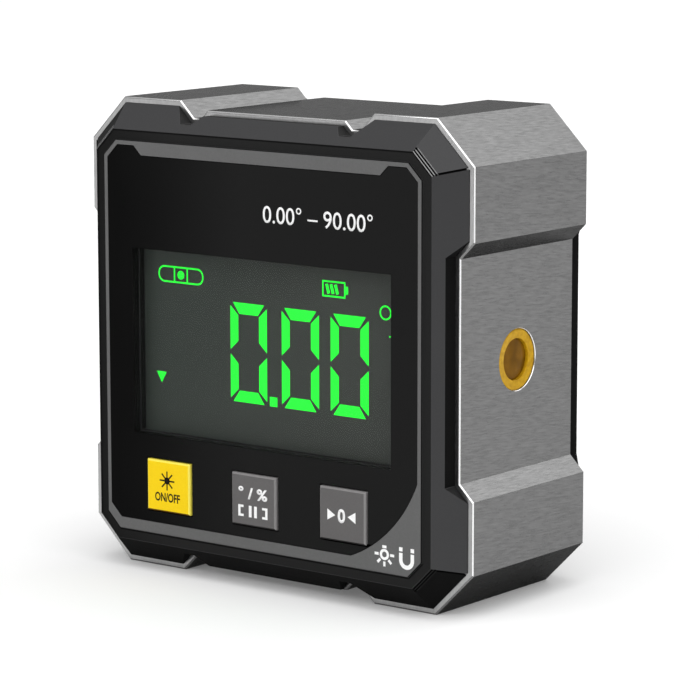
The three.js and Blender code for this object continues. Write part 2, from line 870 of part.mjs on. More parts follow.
// Battery door
function batteryDoor() {
  const radius = doorThickness / 2;
  const round = new THREE.EllipseCurve(hingeY, hingeZ, radius, radius, Math.PI, 2 * Math.PI);
  const top = [point(rearFace, doorHalfHeight), point(doorInner, doorHalfHeight)];
  const profile = [...round.getPoints(smallSides), ...top];
  const plate = sideProfile(profile, -doorHalfWidth, doorHalfWidth);
  const pinEnd = doorHalfWidth + doorPinLength;
  const pins = rodX(doorPinRadius, -pinEnd, pinEnd, hingeY, hingeZ, smallSides);
  const ribTop = openingHalfHeight - doorRibEnd;
  const sunk = doorInner + doorThickness / 2;
  const rib = block(-doorRibHalf, doorRibHalf, doorInner - doorRibDepth, sunk, -ribTop, ribTop);
  const catchTop = openingHalfHeight - slideGap;
  const catchBottom = catchTop - catchThickness;
  const catchBlock = block(-catchHalf, catchHalf, doorInner - catchDepth, sunk, catchBottom, catchTop);
  return join(plate, pins, rib, catchBlock);
}

// Cells and contacts
function cell(x, up) {
  const half = cellLength / 2;
  const shoulder = half - cellNubHeight;
  const profile = [
    point(0, -half),
    point(cellRadius - cellEdge, -half),
    point(cellRadius, -half + cellEdge),
    point(cellRadius, shoulder - cellEdge),
    point(cellRadius - cellEdge, shoulder),
    point(cellNubRadius, shoulder),
    point(cellNubRadius, half),
    point(0, half),
  ];
  return alongZ(turned(profile, roundSides))
    .rotateY(up ? 0 : Math.PI)
    .translate(x, cellDepth, 0);
}

const contactOuter = bayHalfHeight - seatGap;
const contactInner = contactOuter - contactThickness;
const contactTip = cellLength / 2 + seatGap;

// The plate lies on an end wall of the tray; a half turn about Y makes it serve the lower end
function contactPlate(x0, x1) {
  return block(x0, x1, trayInner + fitGap, plateInner - fitGap, contactInner, contactOuter);
}

function contactLeg(x) {
  return block(
    x - contactLegHalf,
    x + contactLegHalf,
    boardBack + seatGap,
    trayInner + fitGap + contactThickness,
    contactInner,
    contactOuter,
  );
}

function contactBoss(x) {
  const profile = [
    point(0, contactTip),
    point(contactTipRadius, contactTip),
    point(contactBossRadius, contactInner + contactThickness / 2),
    point(0, contactInner + contactThickness / 2),
  ];
  return solid(alongZ(turned(profile, smallSides)).translate(x, cellDepth, 0));
}

function contactLeaf(x) {
  const root = contactInner - contactThickness / 2;
  const line = [
    point(cellDepth - leafReach, root),
    point(cellDepth, contactTip),
    point(cellDepth + leafReach, contactInner - seatGap * 2 - contactThickness),
  ];
  const back = [...line].reverse().map((p) => point(p.x, p.y + contactThickness));
  return sideProfile([...line, ...back], x - leafHalfWidth, x + leafHalfWidth);
}

function boardContact(x) {
  return join(contactPlate(x - contactHalfWidth, x + contactHalfWidth), contactLeg(x));
}

function positiveContact() {
  return join(boardContact(-cellPlace), contactBoss(-cellPlace));
}

function negativeContact() {
  return join(boardContact(cellPlace), contactLeaf(cellPlace));
}

function bridgeContact() {
  const half = cellPlace + contactHalfWidth;
  const upper = join(contactPlate(-half, half), contactLeaf(cellPlace), contactBoss(-cellPlace));
  return solid(geometryOf(upper).rotateY(Math.PI));
}

// Screws, each a head and a shank on one profile
function screw(shankRadius, headRadius, headHeight, tip, seat, x, z) {
  const profile = [
    point(0, tip),
    point(shankRadius / 2, tip),
    point(shankRadius, tip + shankRadius),
    point(shankRadius, seat),
    point(headRadius, seat),
    point(headRadius, seat + headHeight / 2),
    point(headRadius / 2, seat + headHeight),
    point(0, seat + headHeight),
  ];
  return turned(profile, smallSides).translate(x, 0, z);
}

function rearScrew(sx, sz) {
  const tip = recessFloor + pilotFloor + fitGap;
  const seat = headFloor + seatGap;
  return screw(rearShankRadius, rearHeadRadius, rearHeadHeight, tip, seat, sx * postPlace, sz * postPlace);
}

function boardScrew(x, z) {
  const seat = boardBack + seatGap;
  return screw(boardShankRadius, boardHeadRadius, boardHeadHeight, seat - boardShankEngage, seat, x, z);
}

// Assembly: the group stands on its lower blocks, with its origin under the middle
const assembly = new THREE.Group();
assembly.name = "level_box";
const body = new THREE.Group();
body.position.set(0, -(keyFront + rearFace) / 2, frameHalf);
assembly.add(body);

function place(name, shape, finish) {
  const geometry = shape.isBufferGeometry ? shape : geometryOf(shape);
  const mesh = new THREE.Mesh(geometry, new THREE.MeshStandardMaterial(finishes[finish]));
  mesh.name = name;
  body.add(mesh);
}

place("frame", frame(), "aluminium");
place("front_bezel", frontBezel(), "blackPlastic");
place("trim_ring", trimRing(), "greyTrim");
place("display_panel", displayPanel(), "glossBlack");
place("display_window", displayWindow(), "clearPane");
place("lcd_glass", lcd(), "lcdGlass");
place("lcd_holder", lcdHolder(), "whitePlastic");
place("backlight_guide", backlightGuide(), "whitePlastic");
place("backlight_led_upper", backlightLed(1), "whitePlastic");
place("backlight_led_lower", backlightLed(-1), "whitePlastic");
place("contact_strip", contactStrip(), "rubber");
keyNames.forEach((name, i) => {
  place(`${name}_key`, key(keyPlaces[i]), name === "power" ? "yellowKey" : "greyKey");
  place(`${name}_switch`, switchBody(keyPlaces[i]), "switchBlack");
  place(`${name}_plunger`, plunger(keyPlaces[i]), "switchBlack");
});
place("main_board", mainBoard(), "board");
place("controller_chip", chipBody(chipSide, chipThickness, chipPlaceX, chipPlaceZ), "chip");
place("tilt_sensor", chipBody(sensorSide, sensorThickness, 0, 0), "chip");
place("aperture_ring", apertureRing(), "goldRing");
place("laser_lens", laserLens(), "lens");
place("laser_module", laserModule(), "brass");
place("laser_holder", laserHolder(), "blackPlastic");
place("rear_cover", rearCover(), "blackPlastic");
place("battery_door", batteryDoor(), "blackPlastic");
place("battery_cell_left", cell(-cellPlace, true), "cell");
place("battery_cell_right", cell(cellPlace, false), "cell");
place("positive_contact", positiveContact(), "spring");
place("negative_contact", negativeContact(), "spring");
place("bridge_contact", bridgeContact(), "spring");
corners.forEach(([sx, sz], i) => {
  place(`rear_screw_${i + 1}`, rearScrew(sx, sz), "steel");
  place(`side_magnet_${i + 1}`, magnet("x", sx, sz), "magnet");
  place(`${sz > 0 ? "top" : "base"}_magnet_${sx > 0 ? "right" : "left"}`, magnet("z", sx, sz), "magnet");
});
boardScrewPlaces.forEach(([x, z], i) => {
  place(`board_screw_${i + 1}`, boardScrew(x, z), "steel");
});

export default assembly;
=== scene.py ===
"""Looks of a digital level box: finishes, rounded edges, display signs, legends, floor and light."""

import logging
import math
from contextlib import contextmanager
from dataclasses import dataclass, replace
from enum import Enum
from functools import cache
from typing import Any, Callable, Iterator

import bpy
from mathutils import Matrix, Vector


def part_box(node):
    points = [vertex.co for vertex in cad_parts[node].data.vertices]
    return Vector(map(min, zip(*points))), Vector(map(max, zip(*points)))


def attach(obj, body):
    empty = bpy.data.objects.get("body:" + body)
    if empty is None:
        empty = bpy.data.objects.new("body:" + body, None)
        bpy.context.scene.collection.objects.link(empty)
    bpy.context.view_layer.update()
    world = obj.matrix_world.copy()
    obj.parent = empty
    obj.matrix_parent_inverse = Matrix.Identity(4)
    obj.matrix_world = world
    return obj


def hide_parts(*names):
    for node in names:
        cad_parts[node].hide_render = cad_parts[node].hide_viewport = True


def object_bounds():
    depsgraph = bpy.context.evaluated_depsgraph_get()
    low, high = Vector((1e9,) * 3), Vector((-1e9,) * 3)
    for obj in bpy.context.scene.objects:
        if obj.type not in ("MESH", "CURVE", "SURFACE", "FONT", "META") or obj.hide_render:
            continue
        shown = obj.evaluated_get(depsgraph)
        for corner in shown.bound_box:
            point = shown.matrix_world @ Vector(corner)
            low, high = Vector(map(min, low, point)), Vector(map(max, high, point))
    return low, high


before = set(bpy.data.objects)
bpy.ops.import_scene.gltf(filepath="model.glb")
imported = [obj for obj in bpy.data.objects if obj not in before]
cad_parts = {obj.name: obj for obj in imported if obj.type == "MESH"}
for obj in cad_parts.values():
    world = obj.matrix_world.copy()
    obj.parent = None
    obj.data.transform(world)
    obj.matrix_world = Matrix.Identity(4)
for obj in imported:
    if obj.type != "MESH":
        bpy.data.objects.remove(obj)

CAD_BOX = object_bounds()
METAL_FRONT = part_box("frame")[0].y
MM = 0.001
CASE = "case"
TOUCH = 0.0005 * MM
FLAT_ANGLE = 0.4
LETTER_TOUCH = 0.01 * MM
LETTER_STEPS = 6
PRINT_LIFT = 0.01 * MM
# What the pattern spans, what the painted gradient of shade spans and the grain's share in it
PATTERN_ENDS = (0.3, 0.7)
PAINTED_GRADIENT_ENDS = (0.25, 0.75)
PAINTED_GRADIENT_GRAIN = 0.1
LEAST_ROUGHNESS = 0.02
COAT_ROUGHNESS = 0.08
# Limits for the part of a face's normal along an axis, from straight along it to hardly leaning
FACING, LEVEL, HALFWAY, STEEP, SIDEWAYS = 0.999, 0.9, 0.5, 0.3, 0.2
FACES, EDGES, POINTS = "faces", "edges", "points"
LEFT, RIGHT = -1, 1
FRONT = Vector((0, -1, 0))
BACK = Vector((0, 1, 0))
UP = Vector((0, 0, 1))
OUT_OF_SIDE = Vector((1, 0, 0))
UPRIGHT = (math.pi / 2, 0, 0)

log = logging.getLogger("level_box")

Piece = bpy.types.Object
Face = bpy.types.MeshPolygon
Tree = bpy.types.NodeTree
Socket = bpy.types.NodeSocket
Lengths = tuple[float, ...]


def mm(*lengths: float) -> Lengths:
    """Turns lengths in millimetres to metres."""
    return tuple(length * MM for length in lengths)


# Colours and nodes
def linear(colour: str) -> tuple[float, float, float, float]:
    """Turns an sRGB hex colour to the linear colour that a node takes.

    Args:
        colour: The colour as "#RRGGBB".

    Returns:
        Red, green, blue and an alpha of 1.
    """
    parts = [int(colour[i : i + 2], 16) / 255 for i in (1, 3, 5)]
    red, green, blue = (p / 12.92 if p <= 0.04045 else ((p + 0.055) / 1.055) ** 2.4 for p in parts)
    return red, green, blue, 1.0


def add(
    tree: Tree, kind: str, sockets: dict[Any, Any] | None = None, links: dict[Any, Any] | None = None,
    stops: tuple[tuple[float, str], ...] = (), **settings: Any,
) -> bpy.types.Node:
    """Adds a node with its settings and links.

    Args:
        tree: The node tree that gets the node.
        kind: The node's type name.
        sockets: Values for the node's input sockets.
        links: Output sockets of other nodes that feed the input sockets.
        stops: Places and hex colours of a colour ramp's two ends.
        settings: Properties of the node itself.

    Returns:
        The new node.
    """
    node = tree.nodes.new(kind)
    for name, value in settings.items():
        setattr(node, name, value)
    for name, value in (sockets or {}).items():
        node.inputs[name].default_value = value
    for name, source in (links or {}).items():
        tree.links.new(source, node.inputs[name])
    for i, (place, colour) in enumerate(stops):
        node.color_ramp.elements[i].position = place
        node.color_ramp.elements[i].color = linear(colour)
    return node


def empty_tree(owner: bpy.types.ID) -> Tree:
    """Gives a material or a world an empty node tree."""
    owner.use_nodes = True
    owner.node_tree.nodes.clear()
    return owner.node_tree


# Finishes
class Surface(Enum):
    """How a surface was made, which decides the pattern that it shows."""

    MOULDED = "moulded against a spark-eroded steel"
    BRUSHED = "brushed along the extrusion"
    MILLED = "milled flat with a fine cutter"
    TURNED = "turned on a lathe"
    WOVEN = "glass cloth under lacquer"
    POLISHED = "polished or cast smooth"


@dataclass(frozen=True)
class Finish:
    """A finish of one material: its colours, its gloss and the pattern of its making.

    The pattern's grain, run and relief and the span of its painted gradient are in millimetres, and its lean
    is in degrees. The painted gradient is painted shade that darkens the finish towards the left.
    """

    name: str
    slot: str
    surface: Surface
    colour: str
    shade: str
    roughness: float
    spread: float = 0.04
    metallic: float = 0.0
    specular: float = 0.5
    edge_tint: str = "#FFFFFF"
    ior: float = 1.5
    grain: float = 0.3
    run: float = 3.0
    lean: float = 0.0
    relief: float = 0.0
    coat: float = 0.0
    alpha: float = 1.0
    glow: float = 0.0
    painted_gradient: tuple[float, float] | None = None

    @cache
    def material(self) -> bpy.types.Material:
        """Makes the material once, and gives the same one after that."""
        made = bpy.data.materials.new(self.name)
        tree = empty_tree(made)
        pattern = self.pattern(tree)
        low, high = PATTERN_ENDS
        stops = ((low, self.shade), (high, self.colour))
        tint = add(tree, "ShaderNodeValToRGB", links={"Fac": pattern}, stops=stops)
        ends = {
            "From Min": low, "From Max": high, "To Min": self.roughness + self.spread,
            "To Max": max(self.roughness - self.spread, LEAST_ROUGHNESS),
        }
        gloss = add(tree, "ShaderNodeMapRange", ends, {"Value": pattern})
        links = {"Base Color": tint.outputs["Color"], "Roughness": gloss.outputs["Result"]}
        if self.relief:
            height = {"Strength": 1.0, "Distance": self.relief * MM}
            bump = add(tree, "ShaderNodeBump", height, {"Height": pattern})
            links["Normal"] = bump.outputs["Normal"]
        if self.glow:
            links["Emission Color"] = tint.outputs["Color"]
        sockets = {
            "Metallic": self.metallic, "Specular IOR Level": self.specular, "IOR": self.ior,
            "Specular Tint": linear(self.edge_tint), "Coat Weight": self.coat,
            "Coat Roughness": COAT_ROUGHNESS, "Alpha": self.alpha, "Emission Strength": self.glow,
        }
        shader = add(tree, "ShaderNodeBsdfPrincipled", sockets, links)
        add(tree, "ShaderNodeOutputMaterial", links={"Surface": shader.outputs["BSDF"]})
        return made

    def pattern(self, tree: Tree) -> Socket:
        """Builds the pattern of the surface's making on the piece's own coordinates.

        Args:
            tree: The material's node tree.

        Returns:
            The socket that gives the pattern, about 0.5 on average.
        """
        place = add(tree, "ShaderNodeTexCoord").outputs["Object"]
        if self.lean:
            turn = {"Rotation": (math.radians(self.lean), 0, 0)}
            place = add(tree, "ShaderNodeMapping", turn, {"Vector": place}).outputs["Vector"]
        fine, slow = 1 / (self.grain * MM), 1 / (self.run * MM)
        even, swing = (fine, fine, fine), (slow, slow, slow)
        # For each making: a noise and its octaves, a second one, and the second one's share
        noise, octaves, other, other_octaves, share = {
            # Streaks run along the depth on every side of the extrusion, in patches of several lengths
            Surface.BRUSHED: ((fine, slow, fine), 3, (fine / 7, slow / 3, fine / 7), 2, 0.12),
            # Cutter marks cross the cut face at a fixed pitch
            Surface.MILLED: ((fine, slow, fine / 5), 2, swing, 1, 0.3),
            # Tool marks are too fine to tell apart, so an even grain stands for them
            Surface.TURNED: (even, 1, even, 1, 0),
            # Warp and weft of the glass cloth
            Surface.WOVEN: ((fine, slow, slow), 0, (slow, slow, fine), 0, 0.5),
            # The eroded steel's grain, with the slow swing of a moulding's sheen
            Surface.MOULDED: (even, 2, swing, 1, 0.35),
            # A polished face has only a slow swing
            Surface.POLISHED: (swing, 1, swing, 1, 0),
        }[self.surface]
        value = self.noise(tree, place, noise, octaves)
        if share:
            links = {"A": value, "B": self.noise(tree, place, other, other_octaves)}
            value = add(tree, "ShaderNodeMix", {"Factor": share}, links).outputs["Result"]
        if self.painted_gradient:
            # Painted shade: the finish darkens from the right end of its painted gradient to the left one
            across = add(tree, "ShaderNodeSeparateXYZ", links={"Vector": place}).outputs["X"]
            names = ("From Min", "From Max", "To Min", "To Max")
            ends = dict(zip(names, (*mm(*self.painted_gradient), *PAINTED_GRADIENT_ENDS)))
            ramp = add(tree, "ShaderNodeMapRange", ends, {"Value": across}, interpolation_type="SMOOTHSTEP")
            links = {"A": ramp.outputs["Result"], "B": value}
            value = add(tree, "ShaderNodeMix", {"Factor": PAINTED_GRADIENT_GRAIN}, links).outputs["Result"]
        return value

    def noise(self, tree: Tree, place: Socket, scale: tuple[float, ...], octaves: int) -> Socket:
        """Adds a noise that is stretched by its scale along each axis.

        Args:
            tree: The material's node tree.
            place: The coordinates that the noise reads.
            scale: Cells to a metre along X, Y and Z.
            octaves: Octaves of the noise.

        Returns:
            The noise's value.
        """
        place = add(tree, "ShaderNodeMapping", {"Scale": scale}, {"Vector": place}).outputs["Vector"]
        noise = add(tree, "ShaderNodeTexNoise", {"Scale": 1.0, "Detail": octaves}, {"Vector": place})
        return noise.outputs["Fac"]


# Extruded aluminium, anodised grey and brushed along its depth: short streaks, a soft wide gloss
BRUSHED_ALUMINIUM = Finish(
    "brushed_aluminium", "frame_aluminium", Surface.BRUSHED, "#848484", "#747474", 0.26, 0.03, 1.0,
    edge_tint="#7C7C7C", grain=0.17, run=1.8, lean=5.0, relief=0.0004,
)
# The sawn and milled ends of the extrusion: brighter, with faint cutter marks
MILLED_ALUMINIUM = Finish(
    "milled_aluminium", "frame_aluminium", Surface.MILLED, "#B0B0B0", "#A2A2A2", 0.32, metallic=1.0, run=4.0,
)
# The chamfer that a fresh cutter leaves on the anodised frame: bare metal, a thin bright line. It is partly a
# painted highlight: only chamfers that don't look down get it, in a strip narrower than the chamfer
CUT_EDGE_HIGHLIGHT_ALUMINIUM = Finish(
    "cut_edge_highlight_aluminium", "frame_aluminium", Surface.POLISHED, "#FAFAFA", "#F0F0F0", 0.2, 0.02, 1.0, run=6.0,
)
# Black ABS housing with a fine satin grain: dark, with a wide soft sheen
SATIN_BLACK_ABS = Finish(
    "satin_black_abs", "case_plastic", Surface.MOULDED, "#2C2C2D", "#28282A", 0.42, specular=0.44,
    grain=0.22, run=9.0, relief=0.002,
)
# The rear of the same moulding, from a coarser part of the tool: matt and nearly black. The same black is
# also painted shade on the trim's walls and on the lower corners' ridges
MATT_BLACK_AND_SHADE_ABS = replace(
    SATIN_BLACK_ABS, name="matt_black_and_shade_abs", colour="#1A1A1A", shade="#161616", roughness=0.6, specular=0.15,
)
# The rim round the trim, matt too, with painted shade that darkens it towards the left. The slopes that face
# left take it as painted shade as well
RIM_SHADED_BLACK_ABS = replace(
    MATT_BLACK_AND_SHADE_ABS, name="rim_shaded_black_abs", colour="#141414", shade="#030303", painted_gradient=(-28, -10),
)
# Painted highlight: light grey on the ridges of its upper corners
RIDGE_HIGHLIGHT_ABS = replace(
    SATIN_BLACK_ABS, name="ridge_highlight_abs", colour="#929292", shade="#888888", roughness=0.3, specular=0.4,
    relief=0.0,
)
# Painted shade: flat black without a sheen on the bezel's walls, grooves and downward faces, along its rim's
# top and left, and on the rear cover's walls
SHADE_BLACK_ABS = replace(
    SATIN_BLACK_ABS, name="shade_black_abs", colour="#121212", shade="#0E0E0E", roughness=0.8, specular=0.04,
)
# Grey ABS trim with a satin lacquer
GREY_LACQUERED_ABS = Finish(
    "grey_lacquered_abs", "trim_plastic", Surface.MOULDED, "#5D5D5D", "#575757", 0.4, specular=0.35,
    grain=0.25, run=7.0, relief=0.0015,
)
# Acrylic sheet printed black from behind: deep black under a clear gloss, with painted shade that darkens it
# towards the left
BLACK_PRINTED_ACRYLIC = Finish(
    "black_printed_acrylic", "panel_acrylic", Surface.POLISHED, "#1C1C1C", "#060606", 0.12, 0.02,
    specular=0.03, ior=1.49, run=14.0, painted_gradient=(-26, 2),
)
# Clear acrylic of the same sheet, tinted slightly: it only veils what lies behind it
CLEAR_ACRYLIC = Finish(
    "clear_window_acrylic", "clear_acrylic", Surface.POLISHED, "#202220", "#1C1E1C", 0.08, 0.02,
    specular=0.3, ior=1.49, run=14.0, alpha=0.1,
)
# Negative LCD under its polariser: a green-grey field, with painted shade that darkens it towards the left
POLARISED_LCD_GLASS = Finish(
    "polarised_lcd_glass", "lcd_glass", Surface.POLISHED, "#474B47", "#3D443F", 0.3, 0.02, specular=0.1,
    run=12.0, painted_gradient=(-26, 20),
)
# LCD segments lit green from behind
LIT_GREEN_SEGMENT = Finish(
    "lit_green_segment", "lcd_glass", Surface.POLISHED, "#2AF53C", "#28F13A", 0.5, specular=0.0, run=6.0,
    glow=1.0,
)
# White ABS moulding
WHITE_MOULDED_ABS = Finish(
    "white_moulded_abs", "white_plastic", Surface.MOULDED, "#E6E6E2", "#DEDEDA", 0.5, grain=0.25, run=6.0,
    relief=0.002,
)
# Conductive silicone strip: dull grey rubber
GREY_SILICONE = Finish(
    "grey_silicone", "strip_rubber", Surface.MOULDED, "#3E3E40", "#353537", 0.75, specular=0.3, grain=0.2,
    relief=0.002,
)
# Yellow ABS key, satin: a clean yellow
YELLOW_MOULDED_ABS = Finish(
    "yellow_moulded_abs", "yellow_key", Surface.MOULDED, "#F8D40C", "#F4CD08", 0.38, specular=0.12,
    grain=0.22, run=4.0, relief=0.0015,
)
# Painted highlight on its upper and side bevels: lighter, with a gloss
YELLOW_HIGHLIGHT_ABS = replace(
    YELLOW_MOULDED_ABS, name="yellow_highlight_abs", colour="#FFF060", shade="#FFEA50", roughness=0.25,
    specular=0.5, relief=0.0,
)
# Painted shade on its lower bevel: brown
YELLOW_SHADED_ABS = replace(
    YELLOW_HIGHLIGHT_ABS, name="yellow_shaded_abs", colour="#6E4C0A", shade="#5A3C06", roughness=0.6, specular=0.1,
)
# Grey ABS keys from the same tool
GREY_MOULDED_ABS = replace(
    YELLOW_MOULDED_ABS, name="grey_moulded_abs", slot="grey_key", colour="#5B5959", shade="#555353",
    roughness=0.4, specular=0.4,
)
# Painted highlight on their upper and side bevels
GREY_HIGHLIGHT_ABS = replace(
    YELLOW_HIGHLIGHT_ABS, name="grey_highlight_abs", slot="grey_key", colour="#858383", shade="#7D7B7B",
)
# Painted shade on their lower bevels
GREY_SHADED_ABS = replace(
    YELLOW_SHADED_ABS, name="grey_shaded_abs", slot="grey_key", colour="#2C2A2A", shade="#222020",
)
# Screen-printed inks of the legends: flat and dull
WHITE_INK = Finish(
    "white_screen_ink", "trim_plastic", Surface.MOULDED, "#FAFAFA", "#F4F4F4", 0.55, specular=0.3,
    grain=0.15, run=2.0,
)
BLACK_INK = replace(
    WHITE_INK, name="black_screen_ink", slot="yellow_key", colour="#120E0C", shade="#0E0A08", specular=0.1,
)
# Black nylon of the switches and plungers
BLACK_MOULDED_NYLON = Finish(
    "black_moulded_nylon", "switch_plastic", Surface.MOULDED, "#2C2C2E", "#262628", 0.55, grain=0.2,
    relief=0.002,
)
# Glass-epoxy board under green solder resist, its cloth showing through
GREEN_SOLDER_RESIST = Finish(
    "green_solder_resist", "board_laminate", Surface.WOVEN, "#1F6238", "#19522F", 0.35, grain=0.4, run=5.0,
    relief=0.003, coat=0.3,
)
# Epoxy chip bodies
BLACK_MOULDED_EPOXY = Finish(
    "black_moulded_epoxy", "chip_plastic", Surface.MOULDED, "#242426", "#1E1E20", 0.6, grain=0.15, run=2.0,
    relief=0.002,
)
# Turned brass ring, anodised gold: warm, with fine tool marks
GOLD_TURNED_RING = Finish(
    "gold_turned_ring", "gold_ring", Surface.TURNED, "#CDA00C", "#BA8D08", 0.38, 0.05, 0.45, specular=0.2,
    grain=0.5, relief=0.002,
)
# Amber moulded lens over the laser: smooth and dark
AMBER_CAST_LENS = Finish(
    "amber_cast_lens", "amber_lens", Surface.POLISHED, "#845B10", "#68470A", 0.2, 0.02, specular=0.04,
    run=1.6,
)
# Turned brass of the laser module
TURNED_BRASS = Finish(
    "turned_brass", "laser_brass", Surface.TURNED, "#C09A4A", "#AA8438", 0.3, 0.06, 1.0, relief=0.003,
)
# Printed shrink sleeve of the battery cells: blue film with a clear gloss
BLUE_SHRINK_SLEEVE = Finish(
    "blue_shrink_sleeve", "cell_sleeve", Surface.POLISHED, "#2F6F8F", "#2A6482", 0.25, run=5.0, coat=0.3,
)
# Nickel-plated ends and springs
NICKEL_PLATED_STEEL = Finish(
    "nickel_plated_steel", "contact_steel", Surface.POLISHED, "#D2D0CA", "#C4C2BC", 0.22, 0.05, 1.0, run=2.5,
)
# Zinc-plated screws
ZINC_PLATED_STEEL = Finish(
    "zinc_plated_steel", "screw_steel", Surface.TURNED, "#B4B6B8", "#A4A6A8", 0.3, 0.06, 1.0, grain=0.25,
    relief=0.002,
)
# Nickel-plated sintered magnets
NICKEL_PLATED_MAGNET = Finish(
    "nickel_plated_magnet", "magnet_nickel", Surface.POLISHED, "#CACCCE", "#BABCBE", 0.18, metallic=1.0,
    run=2.0,
)


# The bench: how pieces are made and finished
def box_point(node: str, *shares: float) -> Vector:
    """Gives the point of a node's box at shares of its width, depth and height."""
    low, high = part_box(node)
    return Vector([start + (end - start) * share for start, end, share in zip(low, high, shares)])


def step(x: float, z: float = 0.0) -> Vector:
    """Gives a step in the plane of the display."""
    return Vector((x, 0, z))


def square_to(along: Vector, way: Vector) -> Vector:
    """Gives the direction of a way without its part along another direction."""
    return (way - way.dot(along) * along).normalized()


def facing(face: Face, direction: Vector) -> bool:
    """Tells whether a face looks along a direction."""
    return face.normal.dot(direction) > FACING


def hold(piece: Piece) -> None:
    """Selects one piece and makes it the active one."""
    bpy.ops.object.select_all(action="DESELECT")
    piece.select_set(True)
    bpy.context.view_layer.objects.active = piece


@contextmanager
def editing(
    piece: Piece, wanted: Callable[[Any], bool] = lambda item: True, kind: str = FACES
) -> Iterator[None]:
    """Opens a piece in edit mode, with its faces or its points picked that are wanted.

    Args:
        piece: The piece, in object mode.
        wanted: The test that a face or a point passes by its place or normal. All of them pass
            where it is left out.
        kind: What is picked, FACES or POINTS.
    """
    mesh = piece.data
    for sort, items in ((POINTS, mesh.vertices), (EDGES, mesh.edges), (FACES, mesh.polygons)):
        items.foreach_set("select", [sort == kind and wanted(item) for item in items])
    hold(piece)
    bpy.context.tool_settings.mesh_select_mode = (kind == POINTS, False, kind == FACES)
    bpy.ops.object.mode_set(mode="EDIT")
    yield
    bpy.ops.object.mode_set(mode="OBJECT")


def face_outwards() -> None:
    """Turns all faces of the piece in edit mode outwards."""
    bpy.ops.mesh.select_all(action="SELECT")
    bpy.ops.mesh.normals_make_consistent(inside=False)


def stand(name: str, data: bpy.types.ID) -> Piece:
    """Puts an object with new data in the scene."""
    piece = bpy.data.objects.new(name, data)
    bpy.context.scene.collection.objects.link(piece)
    return piece


def named(piece: Piece, name: str) -> Piece:
    """Names a piece and its mesh."""
    piece.name = name
    piece.data.name = name
    return piece


def apply_place(piece: Piece) -> Piece:
    """Puts a piece's place, turn and scale in its mesh."""
    hold(piece)
    bpy.ops.object.transform_apply(location=True, rotation=True, scale=True)
    return piece


def started(operator: Callable[..., Any], name: str = "part", **settings: Any) -> Piece:
    """Adds a primitive by its operator, with nothing else selected, and puts its place in its mesh."""
    bpy.ops.object.select_all(action="DESELECT")
    operator(**settings)
    return apply_place(named(bpy.context.active_object, name))


def copy_of(node: str, name: str) -> Piece:
    """Copies a node of the frame, with its loose triangles merged into whole faces.

    Args:
        node: The node's name.
        name: The new piece's name.

    Returns:
        The new piece, in the node's place.
    """
    piece = named(stand(name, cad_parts[node].data.copy()), name)
    piece.data.materials.clear()
    with editing(piece):
        bpy.ops.mesh.remove_doubles(threshold=TOUCH)
        bpy.ops.mesh.dissolve_limited(angle_limit=math.radians(FLAT_ANGLE))
    return piece


def apply_modifier(piece: Piece, kind: str, **settings: Any) -> None:
    """Adds a modifier with its settings and applies it.

    Args:
        piece: The piece that gets it.
        kind: The modifier's type name.
        settings: The modifier's properties.
    """
    hold(piece)
    modifier = piece.modifiers.new(kind.lower(), kind)
    for name, value in settings.items():
        setattr(modifier, name, value)
    bpy.ops.object.modifier_apply(modifier=modifier.name)


def cut(piece: Piece, cutter: Piece, **settings: Any) -> None:
    """Cuts a piece with another one, which is used up."""
    apply_modifier(piece, "BOOLEAN", object=cutter, operation="DIFFERENCE", solver="EXACT", **settings)
    bpy.data.objects.remove(cutter)


def round_edges(
    piece: Piece, width: float, segments: int = 2, limit: float = 30.0, finish: int = -1
) -> Piece:
    """Rounds every edge that turns by more than a limit.

    Args:
        piece: The piece.
        width: Width of the rounding.
        segments: Faces across it.
        limit: The least turn, in degrees.
        finish: The place of the roundings' finish in the piece's list, or -1 to take a neighbour's.

    Returns:
        The same piece.
    """
    apply_modifier(
        piece, "BEVEL", width=width, segments=segments, limit_method="ANGLE",
        angle_limit=math.radians(limit), use_clamp_overlap=True, material=finish,
    )
    return piece


def smooth(piece: Piece, limit: float = 24.0) -> Piece:
    """Shades a piece smooth where it turns by less than a limit in degrees, and keeps its flats flat."""
    hold(piece)
    bpy.ops.object.shade_smooth_by_angle(angle=math.radians(limit))
    apply_modifier(piece, "WEIGHTED_NORMAL", mode="FACE_AREA", weight=100, keep_sharp=True)
    return piece


def join(pieces: list[Piece], name: str) -> Piece:
    """Joins pieces to one piece."""
    hold(pieces[0])
    for piece in pieces:
        piece.select_set(True)
    bpy.ops.object.join()
    return named(pieces[0], name)


def paint(piece: Piece, finish: Finish, wanted: Callable[[Face], bool] | None = None) -> Piece:
    """Gives a finish to a piece, or to those of its faces that are wanted.

    Args:
        piece: The piece.
        finish: The finish.
        wanted: The test that a face passes by its place or normal.

    Returns:
        The same piece.
    """
    if wanted is None:
        piece.data.materials.clear()
    made = finish.material()
    if made.name not in piece.data.materials:
        piece.data.materials.append(made)
    index = piece.data.materials.find(made.name)
    for face in piece.data.polygons:
        if wanted is None or wanted(face):
            face.material_index = index
    return piece


def fit(piece: Piece, body: str, finish: Finish, *nodes: str) -> Piece:
    """Seats a piece on its body and hides the nodes that it stands for.

    Args:
        piece: The piece.
        body: The body that carries it.
        finish: Not used.
        nodes: The nodes that it replaces.

    Returns:
        The same piece.
    """
    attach(piece, body)
    if nodes:
        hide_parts(*nodes)
    return piece


def dress(finish: Finish, *nodes: str) -> list[Piece]:
    """Gives a finish to nodes of the frame that stay as they are."""
    kept = [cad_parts[node] for node in nodes]
    for piece in kept:
        piece.data.materials.clear()
        piece.data.materials.append(finish.material())
    return kept


